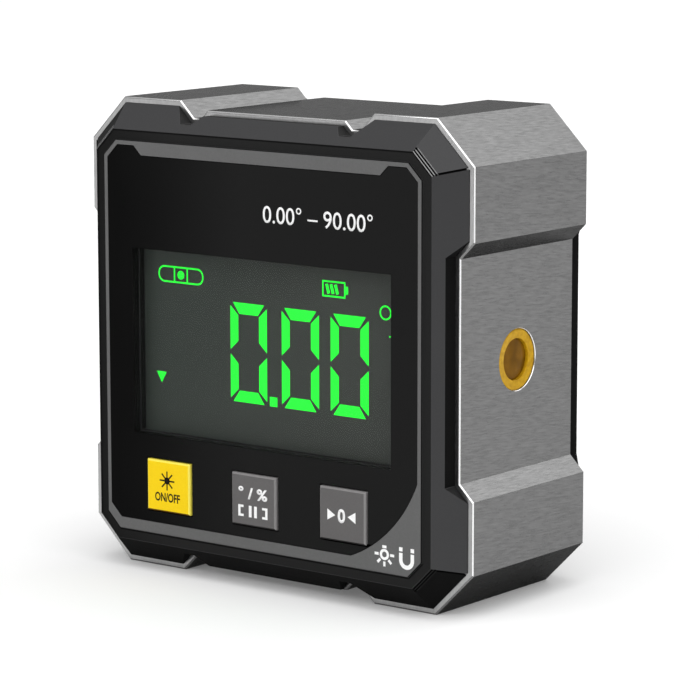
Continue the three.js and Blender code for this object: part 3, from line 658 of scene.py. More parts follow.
def lathe(name: str, axis: Vector, centre: Vector, stations: list[tuple[float, float]], sides: int) -> Piece:
    """Turns a piece by extruding a circle from station to station.

    Args:
        name: The piece's name.
        axis: The direction of the lathe's axis.
        centre: The point on the axis that the stations are measured from.
        stations: Radius and place along the axis, in turn. The ends are closed by a face, or to each
            other where the last station is the first one.
        sides: Facets round the piece.

    Returns:
        The new piece.
    """
    turn = UP.rotation_difference(axis).to_euler()
    radius, along = stations[0]
    piece = started(
        bpy.ops.mesh.primitive_circle_add, name, vertices=sides, radius=radius,
        location=centre + axis * along, rotation=turn,
    )
    closed = stations[0] == stations[-1]
    with editing(piece):
        bpy.context.tool_settings.mesh_select_mode = (False, True, False)
        bpy.ops.mesh.select_all(action="SELECT")
        if not closed:
            bpy.ops.mesh.edge_face_add()
            bpy.ops.mesh.region_to_loop()
        for next_radius, next_along in stations[1:]:
            bpy.ops.mesh.extrude_edges_move(TRANSFORM_OT_translate={"value": axis * (next_along - along)})
            share = next_radius / radius
            place = centre + axis * next_along
            bpy.ops.transform.resize(value=(share, share, share), center_override=place)
            radius, along = next_radius, next_along
        if not closed:
            bpy.ops.mesh.edge_face_add()
        bpy.ops.mesh.select_all(action="SELECT")
        bpy.ops.mesh.remove_doubles(threshold=TOUCH)
        face_outwards()
    return piece


def raise_sheet(piece: Piece, thickness: float) -> Piece:
    """Gives a flat shape its thickness, towards the front."""
    with editing(piece):
        bpy.ops.mesh.extrude_region_move(TRANSFORM_OT_translate={"value": FRONT * thickness})
        face_outwards()
    return piece


def bar(centre: Vector, width: float, height: float, turn: float = 0.0) -> Piece:
    """Lays a flat bar in the plane of the display.

    Args:
        centre: The bar's middle.
        width: Its width before it is turned.
        height: Its height before it is turned.
        turn: Its turn in the plane of the display, in degrees.

    Returns:
        The flat bar.
    """
    piece = started(bpy.ops.mesh.primitive_plane_add, size=1)
    piece.scale = (width, height, 1)
    piece.rotation_euler = UPRIGHT
    apply_place(piece)
    piece.rotation_euler = (0, math.radians(-turn), 0)
    piece.location = centre
    return apply_place(piece)


def wedge(centre: Vector, width: float, height: float, inward: Vector, mitre: float) -> Piece:
    """Lays a flat bar whose inner edge is mitred at both ends.

    Args:
        centre: The bar's middle.
        width: Its width.
        height: Its height.
        inward: The direction of its inner edge.
        mitre: How much each mitre takes off the inner edge.

    Returns:
        The flat bar.
    """
    piece = bar(centre, width, height)
    length, depth = (height, width) if inward.x else (width, height)
    share = (length - 2 * mitre) / length
    with editing(piece, lambda point: (point.co - centre).dot(inward) > 0, POINTS):
        bpy.ops.transform.resize(value=(share, 1, share), center_override=centre + inward * depth / 2)
    return piece


def disc(centre: Vector, radius: float, sides: int = 32) -> Piece:
    """Lays a flat disc in the plane of the display."""
    return started(
        bpy.ops.mesh.primitive_circle_add, vertices=sides, radius=radius, fill_type="NGON",
        location=centre, rotation=UPRIGHT,
    )


def arrowhead(centre: Vector, radius: float, turn: float) -> Piece:
    """Lays a triangle that is turned in the plane of the display, by an angle in radians."""
    piece = disc(centre, radius, 3)
    with editing(piece):
        bpy.ops.transform.rotate(value=turn, orient_axis="Y", center_override=centre)
    return piece


def rays(centre: Vector, radius: float, length: float, line: float, angles: range) -> list[Piece]:
    """Lays short bars that point away from a centre.

    Args:
        centre: The point that they surround.
        radius: From there to their middles.
        length: The length of each.
        line: The width of each.
        angles: Their directions, in degrees.

    Returns:
        The flat bars.
    """
    bars = []
    for angle in angles:
        turn = math.radians(angle)
        place = centre + Vector((math.cos(turn), 0, math.sin(turn))) * radius
        bars.append(bar(place, length, line, angle))
    return bars


def loop_of(piece: Piece, line: float) -> Piece:
    """Leaves only a line of a flat shape's border."""
    with editing(piece):
        bpy.ops.mesh.inset(thickness=line)
        bpy.ops.mesh.delete(type="FACE")
    return piece


def lettering(
    name: str, text: str, centre: Vector, height: float, weight: float = 0.0, width: float = 0.0
) -> Piece:
    """Writes a line of text in the plane of the display.

    Args:
        name: The piece's name.
        text: The text.
        centre: The middle of the line.
        height: The height of its highest sign.
        weight: How much the strokes are thickened, as a share of the size.
        width: The line's width, or nothing to keep the letters' own.

    Returns:
        The flat text as a mesh.
    """
    bpy.ops.object.select_all(action="DESELECT")
    bpy.ops.object.text_add()
    piece = bpy.context.active_object
    piece.data.body = text
    piece.data.offset = weight
    piece.data.resolution_u = LETTER_STEPS
    hold(piece)
    bpy.ops.object.convert(target="MESH")
    piece = named(bpy.context.active_object, name)
    with editing(piece):
        bpy.ops.mesh.remove_doubles(threshold=LETTER_TOUCH)
    corners = [v.co for v in piece.data.vertices]
    low = Vector(min(c[i] for c in corners) for i in range(3))
    high = Vector(max(c[i] for c in corners) for i in range(3))
    scale = height / (high.y - low.y)
    stretch = width / (high.x - low.x) if width else scale
    piece.data.transform(Matrix.Translation(-(low + high) / 2))
    piece.scale = (stretch, scale, scale)
    piece.rotation_euler = UPRIGHT
    piece.location = centre
    return apply_place(piece)


def printed(parts: list[Piece], name: str, ink: Finish, body: str) -> Piece:
    """Joins flat shapes to one print, gives it thickness and ink, and seats it.

    Args:
        parts: The flat shapes.
        name: The print's name.
        ink: The print's finish.
        body: The body that carries it.

    Returns:
        The print.
    """
    return fit(paint(raise_sheet(join(parts, name), PRINT_LIFT), ink), body, ink)


# Sub-assemblies
@dataclass
class MetalFrame:
    """The extruded ring: brushed sides, milled ends and bright cut edges."""

    edge_round: float = 0.035 * MM
    slant: float = 0.2
    chamfer_reach: float = 0.5 * MM
    cut_margin: float = 0.05 * MM
    port_reach: float = 4.3 * MM
    port_depth: float = 0.2 * MM
    port_lift: float = 0.15 * MM
    port_share: float = 0.955

    def build(self) -> list[Piece]:
        """Makes the frame's piece."""
        low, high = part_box("frame")
        port = box_point("aperture_ring", 1, 0.5, 0.5)
        piece = copy_of("frame", "metal_frame")
        piece.data.materials.append(BRUSHED_ALUMINIUM.material())

        def slants(part: float) -> bool:
            """Tells whether a part of a face's normal is that of a chamfer."""
            return self.slant < part <= 1 - self.slant

        def at_chamfer(face: Face) -> bool:
            """Tells whether a face is a chamfer along a cut end that doesn't look down."""
            near = min(face.center.y - low.y, high.y - face.center.y) < self.chamfer_reach
            return near and slants(abs(face.normal.y)) and face.normal.z > -self.slant

        def at_port(place: Vector) -> bool:
            """Tells whether a place is at the hole for the ring."""
            return (place - port).length < self.port_reach

        paint(piece, MILLED_ALUMINIUM, lambda face: abs(face.normal.y) > 1 - self.slant)
        # Painted highlight: the bright bare metal goes on the middle of each chamfer that doesn't look down,
        # and on the hole's chamfer
        with editing(piece, at_chamfer):
            bpy.ops.mesh.inset(thickness=self.cut_margin)
        paint(piece, CUT_EDGE_HIGHLIGHT_ALUMINIUM, lambda face: face.select)
        paint(piece, CUT_EDGE_HIGHLIGHT_ALUMINIUM, lambda face: at_port(face.center) and slants(face.normal.x))
        # The photograph's ring all but fills its hole, so the hole's edge is drawn in
        with editing(piece, lambda p: at_port(p.co) and 0 < port.x - p.co.x < self.port_depth, POINTS):
            bpy.ops.transform.translate(value=(self.port_lift, 0, 0))
        with editing(piece, lambda p: at_port(p.co) and p.co.x - port.x > self.port_lift / 2, POINTS):
            bpy.ops.transform.resize(value=(1, self.port_share, self.port_share), center_override=port)
        return [fit(smooth(round_edges(piece, self.edge_round)), CASE, BRUSHED_ALUMINIUM, "frame")]


@dataclass(frozen=True)
class Facet:
    """A sloping corner facet: its inner end at the top or bottom slope, its ends at the side, its normal."""

    top: Vector
    side: Vector
    outer: Vector
    normal: Vector

    @classmethod
    def of(cls, piece: Piece, face: Face) -> "Facet":
        """Reads a facet from the bezel's face, whose inner edge lies at the rim."""
        points = sorted((piece.data.vertices[i].co.copy() for i in face.vertices), key=lambda p: p.y)
        inner = sorted(points[:2], key=lambda p: abs(p.x))
        return cls(*inner, max(points[2:], key=lambda p: abs(p.x)), face.normal.copy())

    def cutter(
        self, start: Vector, end: Vector, into: Vector, width: float, depth: float, finish: Finish
    ) -> Piece:
        """Makes a block that cuts a straight groove in the facet.

        Args:
            start: Where the groove's near edge starts.
            end: Where that edge ends.
            into: A way from that edge to the groove's other edge.
            width: The groove's width.
            depth: Its depth.
            finish: The finish that the block leaves in it.

        Returns:
            The block.
        """
        along = (end - start).normalized()
        across = square_to(along, into)
        above = 0.1 * MM
        block = started(bpy.ops.mesh.primitive_cube_add, size=1)
        block.scale = ((end - start).length, width, depth + above)
        apply_place(block)
        block.matrix_world = Matrix((along, across, self.normal)).transposed().to_4x4()
        block.location = (start + end) / 2 + across * width / 2 + self.normal * (above - depth) / 2
        apply_place(block)
        with editing(block):
            face_outwards()
        return paint(block, finish)


@dataclass
class FrontHousing:
    """The front bezel with its corner facets and sunk rim, the trim, the panel and the window."""

    facet_spread: float = 0.05
    ridge_reach: float = 0.8 * MM
    ridge_depth: float = 0.015 * MM
    groove_starts: Lengths = mm(0.12, 0.46)
    groove_width: float = 0.22 * MM
    side_groove_width: float = 0.3 * MM
    groove_depth: float = 0.3 * MM
    land_drop: float = 0.5 * MM
    land_reach: float = 1.5 * MM
    rim_lip: float = 0.25 * MM
    rim_drop: float = 0.1 * MM
    # How far the strip of painted shade reaches along the rim's top and left
    rim_shade_reach: float = 3.3 * MM
    edge_round: float = 0.08 * MM
    trim_round: float = 0.07 * MM
    panel_round: float = 0.04 * MM
    sign_line: float = 0.34 * MM
    lamp_place: Lengths = mm(-5.4, 2.3)
    lamp_radius: float = 0.52 * MM
    foot_rise: float = 0.95 * MM
    foot_size: Lengths = mm(0.62, 0.34)
    ray_radius: float = 1.17 * MM
    ray_length: float = 0.6 * MM
    magnet_place: Lengths = mm(-2.08, 2.0)
    magnet_radius: float = 0.86 * MM
    magnet_line: float = 0.52 * MM
    leg_length: float = 0.84 * MM
    pole_length: float = 0.5 * MM
    pole_rise: float = 0.86 * MM
    range_place: Lengths = mm(-11.05, 5.9)
    range_height: float = 2.2 * MM
    range_weight: float = 0.004

    def build(self) -> list[Piece]:
        """Makes the housing's pieces."""
        return [self.bezel(), self.trim(), self.panel(), self.window(), *self.pictograms(), self.range_sign()]

    def bezel(self) -> Piece:
        """Makes the bezel with its sunk rim, and cuts ridges and grooves in its corner facets."""
        piece = copy_of("front_bezel", "bezel")
        low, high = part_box("front_bezel")
        self.lower_land(piece)
        facets = [Facet.of(piece, face) for face in piece.data.polygons if self.is_facet(face)]
        with editing(piece, lambda face: facing(face, FRONT) and face.center.y < low.y + self.rim_drop / 2):
            bpy.ops.mesh.inset(thickness=self.rim_lip, depth=-self.rim_drop)

        def on_rim(face: Face) -> bool:
            """Tells whether a face is the rim's flat."""
            return face.normal.y < -LEVEL and face.center.y < low.y + 2 * self.rim_drop

        def at_top_or_left(face: Face) -> bool:
            """Tells whether a face lies along the bezel's top or left edge."""
            return face.center.z > high.z - self.rim_shade_reach or face.center.x < low.x + self.rim_shade_reach

        paint(piece, SATIN_BLACK_ABS)
        # Painted shade: the rim's flat takes the rim black, which darkens towards the left
        paint(piece, RIM_SHADED_BLACK_ABS, on_rim)
        # Painted shade: a dark strip along the rim's top and left edges
        paint(piece, SHADE_BLACK_ABS, lambda face: on_rim(face) and at_top_or_left(face))
        # Painted shade: the slopes that face left take the rim black
        paint(piece, RIM_SHADED_BLACK_ABS, lambda face: face.normal.x < -STEEP and face.normal.y < -STEEP)
        paint(piece, MATT_BLACK_AND_SHADE_ABS, lambda face: face.normal.y > -STEEP and face.normal.z > STEEP)
        # Painted shade: walls that don't face the front, and faces that look down, take the shade black
        paint(piece, SHADE_BLACK_ABS, lambda face: face.normal.y > -STEEP and face.normal.z < STEEP)
        paint(piece, SHADE_BLACK_ABS, lambda face: face.normal.z < -STEEP)
        round_edges(piece, self.edge_round, finish=0)
        # Painted shade: the roundings that look down take the shade black
        paint(piece, SHADE_BLACK_ABS, lambda face: face.normal.z < -SIDEWAYS)
        # Painted shade: the roundings that face left take the rim black
        paint(piece, RIM_SHADED_BLACK_ABS, lambda face: face.normal.x < -SIDEWAYS and abs(face.normal.z) < SIDEWAYS)
        ridges = [self.ridge(facet) for facet in facets]
        grooves = [groove for facet in facets for groove in self.grooves(facet)]
        for cutters in (ridges, grooves):
            cut(piece, join(cutters, "cutter"), material_mode="TRANSFER")
        return fit(smooth(piece), CASE, SATIN_BLACK_ABS, "front_bezel")

    def is_facet(self, face: Face) -> bool:
        """Tells whether a face is one of the four sloping corner facets."""
        normal = face.normal
        slopes = normal.y < -STEEP and abs(normal.x) > STEEP and face.center.y < METAL_FRONT
        return slopes and abs(abs(normal.x) - abs(normal.z)) < self.facet_spread

    def ridge(self, facet: Facet) -> Piece:
        """Makes the block that lowers a facet's inner edge by a hair. Upper ones get a painted highlight,
        lower ones the matt black as painted shade.
        """
        finish = RIDGE_HIGHLIGHT_ABS if facet.normal.z > 0 else MATT_BLACK_AND_SHADE_ABS
        down = facet.outer - facet.side
        return facet.cutter(facet.top, facet.side, down, self.ridge_reach, self.ridge_depth, finish)

    def grooves(self, facet: Facet) -> list[Piece]:
        """Makes the blocks that cut a facet's grooves, painted shade black inside: two along its inner edge,
        one along its side.
        """
        along = (facet.side - facet.top).normalized()
        down = (facet.outer - facet.side).normalized()
        edges = []
        for start in self.groove_starts:
            shift, reach = square_to(along, down) * start, along * start / 2
            edges.append((facet.top + shift - reach, facet.side + shift + reach, down, self.groove_width))
        first = facet.side + down * self.ridge_reach
        edges.append((first, facet.outer, facet.top - facet.side, self.side_groove_width))
        return [facet.cutter(*edge, self.groove_depth, SHADE_BLACK_ABS) for edge in edges]

    def lower_land(self, piece: Piece) -> None:
        """Brings the land between the two lower notches down to the metal's edge, along the slope."""
        faces = piece.data.polygons
        lands = [
            (face.center.z, face.center.y, face.index) for face in faces
            if facing(face, -UP) and METAL_FRONT - self.land_reach < face.center.y < METAL_FRONT
            and abs(face.center.x) < MM
        ]
        _, middle, index = min(lands)
        slope = next(
            face.normal.copy() for face in faces
            if -LEVEL < face.normal.z < -HALFWAY and abs(face.normal.x) < SIDEWAYS / 2
        )
        rise = self.land_drop * slope.z / slope.y
        share = 1 - rise / (2 * (METAL_FRONT - middle))
        with editing(piece, lambda face: face.index == index):
            bpy.ops.transform.translate(value=-UP * self.land_drop)
            bpy.ops.transform.resize(value=(1, share, 1), center_override=BACK * METAL_FRONT)

    def trim(self) -> Piece:
        """Makes the trim ring with softened edges, its walls in the matt black as painted shade."""
        piece = paint(copy_of("trim_ring", "trim"), GREY_LACQUERED_ABS)
        # Painted shade: the trim's walls take the matt black, which shows as a dark line along the trim
        paint(piece, MATT_BLACK_AND_SHADE_ABS, lambda face: abs(face.normal.y) < HALFWAY)
        return fit(smooth(round_edges(piece, self.trim_round)), CASE, GREY_LACQUERED_ABS, "trim_ring")

    def panel(self) -> Piece:
        """Makes the display panel with softened edges."""
        piece = smooth(round_edges(copy_of("display_panel", "panel"), self.panel_round))
        return fit(paint(piece, BLACK_PRINTED_ACRYLIC), CASE, BLACK_PRINTED_ACRYLIC, "display_panel")

    def window(self) -> Piece:
        """Dresses the clear window."""
        return dress(CLEAR_ACRYLIC, "display_window")[0]

    def pictograms(self) -> list[Piece]:
        """Prints the lamp and the magnet in the lower right corner of the trim."""
        corner = box_point("trim_ring", 1, 0, 0)
        lamp = corner + step(*self.lamp_place)
        parts = [
            loop_of(disc(lamp, self.lamp_radius + self.sign_line / 2), self.sign_line),
            bar(lamp + UP * self.foot_rise, *self.foot_size),
            *rays(lamp, self.ray_radius, self.ray_length, self.sign_line, range(-180, 1, 45)),
        ]
        return [
            printed(parts, "lamp_sign", WHITE_INK, CASE),
            printed(self.magnet(corner + step(*self.magnet_place)), "magnet_sign", WHITE_INK, CASE),
        ]

    def magnet(self, centre: Vector) -> list[Piece]:
        """Lays a horseshoe magnet round the middle of its bend: the bend, the legs and the poles."""
        line = self.magnet_line
        bend = loop_of(disc(centre, self.magnet_radius + line / 2, sides=40), line)
        with editing(bend):
            bpy.ops.mesh.bisect(plane_co=centre, plane_no=UP, clear_outer=True)
        parts = [bend]
        for side in (LEFT, RIGHT):
            leg = centre + step(side * self.magnet_radius, self.leg_length / 2)
            parts.append(bar(leg, line, self.leg_length))
            parts.append(bar(leg + UP * self.pole_rise, line, self.pole_length))
        return parts

    def range_sign(self) -> Piece:
        """Prints the measuring range above the window."""
        centre = box_point("display_window", 1, 0, 1) + step(*self.range_place)
        centre.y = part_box("display_panel")[0].y
        sign = lettering("range_sign", "0.00° – 90.00°", centre, self.range_height, self.range_weight)
        return printed([sign], "range_sign", WHITE_INK, CASE)


@dataclass
class LcdUnit:
    """The LCD and what lies behind it, with the signs that it shows. Their places are from its middle."""

    digit_left: Lengths = mm(-6.27, 1.89, 9.5)
    digit_top: float = 5.9 * MM
    digit_width: float = 5.8 * MM
    digit_height: float = 12.45 * MM
    stroke: float = 1.24 * MM
    cap_stroke: float = 1.4 * MM
    gap: float = 0.43 * MM
    mitre: float = 1.0 * MM
    waist: float = 0.58 * MM
    waist_mitre: float = 1.15 * MM
    line: float = 0.2 * MM
    point_place: Lengths = mm(0.55, -6.0)
    point_size: float = 1.18 * MM
    degree_place: Lengths = mm(17.84, 6.72)
    degree_radius: float = 0.9 * MM
    pointer_place: Lengths = mm(-17.64, -4.5)
    pointer_radius: float = 0.92 * MM
    dot_place: Lengths = mm(18.5, 3.88)
    dot_radius: float = 0.12 * MM
    vial_place: Lengths = mm(-14.32, 8.52)
    vial_size: Lengths = mm(7.4, 2.1)
    vial_round: float = 1.0 * MM
    bubble_radius: float = 0.55 * MM
    mark_step: float = 1.05 * MM
    mark_height: float = 1.75 * MM
    battery_place: Lengths = mm(10.0, 8.88)
    battery_size: Lengths = mm(3.55, 2.0)
    nub_step: float = 1.98 * MM
    nub_size: Lengths = mm(0.4, 0.95)
    charge_steps: Lengths = mm(-0.95, -0.27, 0.41)
    charge_size: Lengths = mm(0.42, 1.2)
    charge_lean: float = 16.0

    def build(self) -> list[Piece]:
        """Makes the LCD's pieces."""
        behind = ("lcd_holder", "backlight_guide", "backlight_led_upper", "backlight_led_lower")
        return [
            *dress(POLARISED_LCD_GLASS, "lcd_glass"),
            *dress(WHITE_MOULDED_ABS, *behind),
            *dress(GREY_SILICONE, "contact_strip"),
            self.digits(),
            self.signs(),
        ]

    def at(self, x: float, z: float) -> Vector:
        """Gives the point on the LCD at a place from the window's middle."""
        place = box_point("display_window", 0.5, 0.5, 0.5) + step(x, z)
        place.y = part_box("lcd_glass")[0].y - PRINT_LIFT
        return place

    def zero(self, left: float) -> list[Piece]:
        """Lays the six segments of a zero.

        Args:
            left: The digit's left edge, from the window's middle.

        Returns:
            The flat segments.
        """
        x = left + self.digit_width / 2
        z = self.digit_top - self.digit_height / 2
        cap = self.digit_width - 2 * self.gap
        caps, posts = [], []
        length = (self.digit_height - self.waist) / 2 - self.gap
        for side in (LEFT, RIGHT):
            place = self.at(x, z - side * (self.digit_height - self.cap_stroke) / 2)
            caps.append(wedge(place, cap, self.cap_stroke, UP * side, self.mitre))
            post = x + side * (self.digit_width - self.stroke) / 2
            for end in (LEFT, RIGHT):
                place = self.at(post, z + end * (self.waist + length) / 2)
                posts.append(wedge(place, self.stroke, length, step(-side), self.waist_mitre))
        return caps + posts

    def digits(self) -> Piece:
        """Lights the digits and the decimal point."""
        parts = [part for left in self.digit_left for part in self.zero(left)]
        parts.append(bar(self.at(*self.point_place), self.point_size, self.point_size))
        return printed(parts, "lcd_digits", LIT_GREEN_SEGMENT, CASE)

    def signs(self) -> Piece:
        """Lights the vial, the battery, the degree sign, the pointer that points down and a dot."""
        parts = [
            *self.vial(),
            *self.battery(),
            loop_of(disc(self.at(*self.degree_place), self.degree_radius), self.line),
            arrowhead(self.at(*self.pointer_place), self.pointer_radius, math.pi),
            disc(self.at(*self.dot_place), self.dot_radius, sides=12),
        ]
        return printed(parts, "lcd_signs", LIT_GREEN_SEGMENT, CASE)

    def vial(self) -> list[Piece]:
        """Lays a level's vial with its bubble between two marks."""
        centre = self.at(*self.vial_place)
        tube = bar(centre, *self.vial_size)
        with editing(tube):
            bpy.ops.mesh.bevel(offset=self.vial_round, segments=8, affect="VERTICES")
        marks = [
            bar(centre + step(side * self.mark_step), self.line, self.mark_height) for side in (LEFT, RIGHT)
        ]
        return [loop_of(tube, self.line), disc(centre, self.bubble_radius, sides=28), *marks]

    def battery(self) -> list[Piece]:
        """Lays a battery's outline with three slanted bars."""
        centre = self.at(*self.battery_place)
        shell = loop_of(bar(centre, *self.battery_size), self.line)
        nub = bar(centre + step(self.nub_step), *self.nub_size)
        bars = [bar(centre + step(x), *self.charge_size, self.charge_lean) for x in self.charge_steps]
        return [shell, nub, *bars]


@dataclass
class Keypad:
    """The three keys with their legends, switches and plungers. Legends are placed from a key's middle."""

    edge_round: float = 0.08 * MM
    sink: float = 0.015 * MM
    sun_place: Lengths = mm(-0.155, 0.78)
    sun_radius: float = 0.45 * MM
    ray_radius: float = 0.76 * MM
    ray_length: float = 0.92 * MM
    ray_line: float = 0.2 * MM
    switch_place: Lengths = mm(-0.1, -1.36)
    switch_size: Lengths = mm(4.1, 1.15)
    switch_weight: float = 0.025
    units_place: Lengths = mm(-0.055, 0.91)
    units_size: Lengths = mm(4.6, 1.55)
    pause_place: Lengths = mm(-0.065, -1.38)
    pause_step: float = 0.42 * MM
    pause_size: Lengths = mm(0.44, 1.45)
    post_step: float = 2.15 * MM
    post_size: Lengths = mm(0.36, 1.45)
    arm_step: Lengths = mm(0.42, 0.57)
    arm_size: Lengths = mm(0.5, 0.3)
    zero_place: Lengths = mm(-0.085, -0.08)
    zero_height: float = 1.75 * MM
    sign_weight: float = 0.03
    head_step: float = 1.75 * MM
    head_radius: float = 0.8 * MM

    def build(self) -> list[Piece]:
        """Makes the keypad's pieces."""
        yellow = (YELLOW_MOULDED_ABS, YELLOW_HIGHLIGHT_ABS, YELLOW_SHADED_ABS)
        grey = (GREY_MOULDED_ABS, GREY_HIGHLIGHT_ABS, GREY_SHADED_ABS)
        made = []
        for name, finishes in (("power", yellow), ("hold", grey), ("zero", grey)):
            made.append(self.cap(name, *finishes))
            made += dress(BLACK_MOULDED_NYLON, f"{name}_switch", f"{name}_plunger")
        return [*made, self.power_legend(), self.hold_legend(), self.zero_legend()]

    def cap(self, name: str, finish: Finish, lit_bevel: Finish, shaded_bevel: Finish) -> Piece:
        """Makes a key's cap, its face sunk by the height of the print on it.

        Args:
            name: The key's name.
            finish: The finish of the cap.
            lit_bevel: The finish of its upper and side bevels, a painted highlight.
            shaded_bevel: The finish of its lower bevel, a painted shade.

        Returns:
            The cap.
        """
        node = f"{name}_key"
        piece = paint(copy_of(node, f"{node}_cap"), finish)
        # Painted highlight: the upper and side bevels are lighter
        paint(piece, lit_bevel, lambda face: -LEVEL < face.normal.y < STEEP and face.normal.z > -STEEP)
        # Painted shade: the lower bevel is dark
        paint(piece, shaded_bevel, lambda face: face.normal.z < -STEEP)
        with editing(piece, lambda face: facing(face, FRONT) and face.center.y < self.face(name).y):
            bpy.ops.transform.translate(value=BACK * self.sink)
        return fit(smooth(round_edges(piece, self.edge_round)), node, finish, node)

    def face(self, name: str) -> Vector:
        """Gives the middle of a key's face."""
        return box_point(f"{name}_key", 0.5, 0, 0.5) + BACK * self.sink

    def power_legend(self) -> Piece:
        """Prints a sun above ON/OFF."""
        face = self.face("power")
        sun = face + step(*self.sun_place)
        width, height = self.switch_size
        parts = [
            disc(sun, self.sun_radius, sides=24),
            *rays(sun, self.ray_radius, self.ray_length, self.ray_line, range(0, 360, 45)),
            lettering("on_off", "ON/OFF", face + step(*self.switch_place), height, self.switch_weight, width),
        ]
        return printed(parts, "power_legend", BLACK_INK, "power_key")

    def hold_legend(self) -> Piece:
        """Prints the units above two bars in brackets, which stand for a held value."""
        face = self.face("hold")
        pause = face + step(*self.pause_place)
        width, height = self.units_size
        place = face + step(*self.units_place)
        parts = [lettering("units", "° / %", place, height, self.sign_weight, width)]
        for side in (LEFT, RIGHT):
            post = pause + step(side * self.post_step)
            parts.append(bar(pause + step(side * self.pause_step), *self.pause_size))
            parts.append(bar(post, *self.post_size))
            for end in (LEFT, RIGHT):
                arm = post + step(-side * self.arm_step[0], end * self.arm_step[1])
                parts.append(bar(arm, *self.arm_size))
        return printed(parts, "hold_legend", WHITE_INK, "hold_key")

    def zero_legend(self) -> Piece:
        """Prints a zero between two arrowheads."""
        face = self.face("zero") + step(*self.zero_place)
        parts = [lettering("zero", "0", face, self.zero_height, self.sign_weight)]
        for side in (LEFT, RIGHT):
            parts.append(arrowhead(face + step(side * self.head_step), self.head_radius, side * math.pi / 2))
        return printed(parts, "zero_legend", WHITE_INK, "zero_key")


@dataclass
class LaserPort:
    """The gold ring in the right side with its lens, the laser behind it and its holder."""

    sides: int = 96
    edge: float = 0.12 * MM
    outer: float = 3.79 * MM
    lip: float = 3.76 * MM
    bore: float = 2.56 * MM
    dish: Lengths = mm(0.01, 0.08, 0.1)
    flange_depth: float = 0.6 * MM
    lens_gap: float = 0.05 * MM
    lens_sides: int = 64
    lens_sunk: float = 0.38 * MM
    boss: float = 2.52 * MM
    crown: float = 0.1 * MM
    crown_steps: int = 8

    def build(self) -> list[Piece]:
        """Makes the port's pieces."""
        behind = [*dress(TURNED_BRASS, "laser_module"), *dress(SATIN_BLACK_ABS, "laser_holder")]
        return [self.ring(), self.lens(), *behind]

    def ring(self) -> Piece:
        """Turns the ring: a rounded lip, a shallow dish, the bore, the lens seat and the flange."""
        low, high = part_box("aperture_ring")
        lens_low, lens_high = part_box("laser_lens")
        flange = (high.z - low.z) / 2
        seat = (lens_high.z - lens_low.z) / 2 + self.lens_gap
        back = low.x - high.x
        shoulder = back + self.flange_depth
        lens_face = lens_high.x - high.x + self.lens_gap
        edge, lip, bore = self.edge, self.lip, self.bore
        rim, foot, end = self.dish
        stations = [
            (seat, back), (flange, back), (flange, shoulder), (self.outer, shoulder),
            (self.outer, -edge * 2), (lip, -edge * 0.3), (lip - edge * 0.5, 0),
            (lip - edge * 2.2, -rim), (bore + edge * 0.5, -foot), (bore, -end - edge * 0.5),
            (bore, lens_face), (seat, lens_face), (seat, back),
        ]
        return self.turned("gold_ring", "aperture_ring", stations, self.sides, GOLD_TURNED_RING)

    def lens(self) -> Piece:
        """Turns the lens: a flange behind the ring and a boss with a domed face in its bore."""
        low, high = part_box("laser_lens")
        radius = (high.z - low.z) / 2
        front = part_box("aperture_ring")[1].x - high.x - self.lens_sunk
        stations = [(radius, low.x - high.x), (radius, 0), (self.boss, 0)]
        for i in range(self.crown_steps):
            share = 1 - i / self.crown_steps
            stations.append((self.boss * share, front - self.crown * share * share))
        return self.turned("amber_lens", "laser_lens", stations, self.lens_sides, AMBER_CAST_LENS)

    def turned(
        self, name: str, node: str, stations: list[tuple[float, float]], sides: int, finish: Finish
    ) -> Piece:
        """Turns a piece that looks out of the right side.

        Args:
            name: The piece's name.
            node: The node that it replaces.
            stations: Radius and place along the axis, from the node's front.
            sides: Facets round the piece.
            finish: Its finish.

        Returns:
            The piece.
        """
        piece = lathe(name, OUT_OF_SIDE, box_point(node, 1, 0.5, 0.5), stations, sides)
        return fit(paint(smooth(piece, limit=40), finish), CASE, finish, node)


@dataclass
class RearHousing:
    """The rear cover and the four screws that hold the case together."""

    edge_round: float = 0.1 * MM
    shank_share: float = 0.52
    head_sides: int = 48
    head_depth: float = 1.6 * MM
    head_round: float = 0.3 * MM
    slot_size: Lengths = mm(0.62, 2.5)
    slot_depth: float = 0.9 * MM
    slot_above: float = 0.2 * MM

    def build(self) -> list[Piece]:
        """Makes the rear's pieces."""
        cover = smooth(round_edges(copy_of("rear_cover", "rear_shell"), self.edge_round))
        paint(cover, MATT_BLACK_AND_SHADE_ABS)
        # Painted shade: the cover's walls take the shade black, darker than its matt back
        paint(cover, SHADE_BLACK_ABS, lambda face: face.normal.y < HALFWAY)
        fit(cover, CASE, MATT_BLACK_AND_SHADE_ABS, "rear_cover")
        return [cover, *(self.screw(i) for i in range(1, 5))]

    def screw(self, number: int) -> Piece:
        """Turns a screw with a rounded head and cuts the cross in it.

        Args:
            number: The screw's number.

        Returns:
            The screw.
        """
        node = f"rear_screw_{number}"
        low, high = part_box(node)
        centre = box_point(node, 0.5, 1, 0.5)
        head, length = (high.x - low.x) / 2, high.y - low.y
        shank, seat, edge = head * self.shank_share, -self.head_depth, self.head_round
        stations = [
            (shank * 0.5, -length), (shank, -length + shank), (shank, seat), (head, seat),
            (head, -edge * 1.6), (head - edge * 0.35, -edge * 0.7), (head - edge * 1.2, -edge * 0.15),
            (head - edge * 2.4, 0),
        ]
        piece = lathe(f"case_screw_{number}", BACK, centre, stations, self.head_sides)
        for size in (self.slot_size, self.slot_size[::-1]):
            sheet = bar(centre + BACK * self.slot_above, *size)
            cut(piece, raise_sheet(sheet, self.slot_depth + self.slot_above))
        return fit(paint(smooth(piece, limit=35), ZINC_PLATED_STEEL), CASE, ZINC_PLATED_STEEL, node)


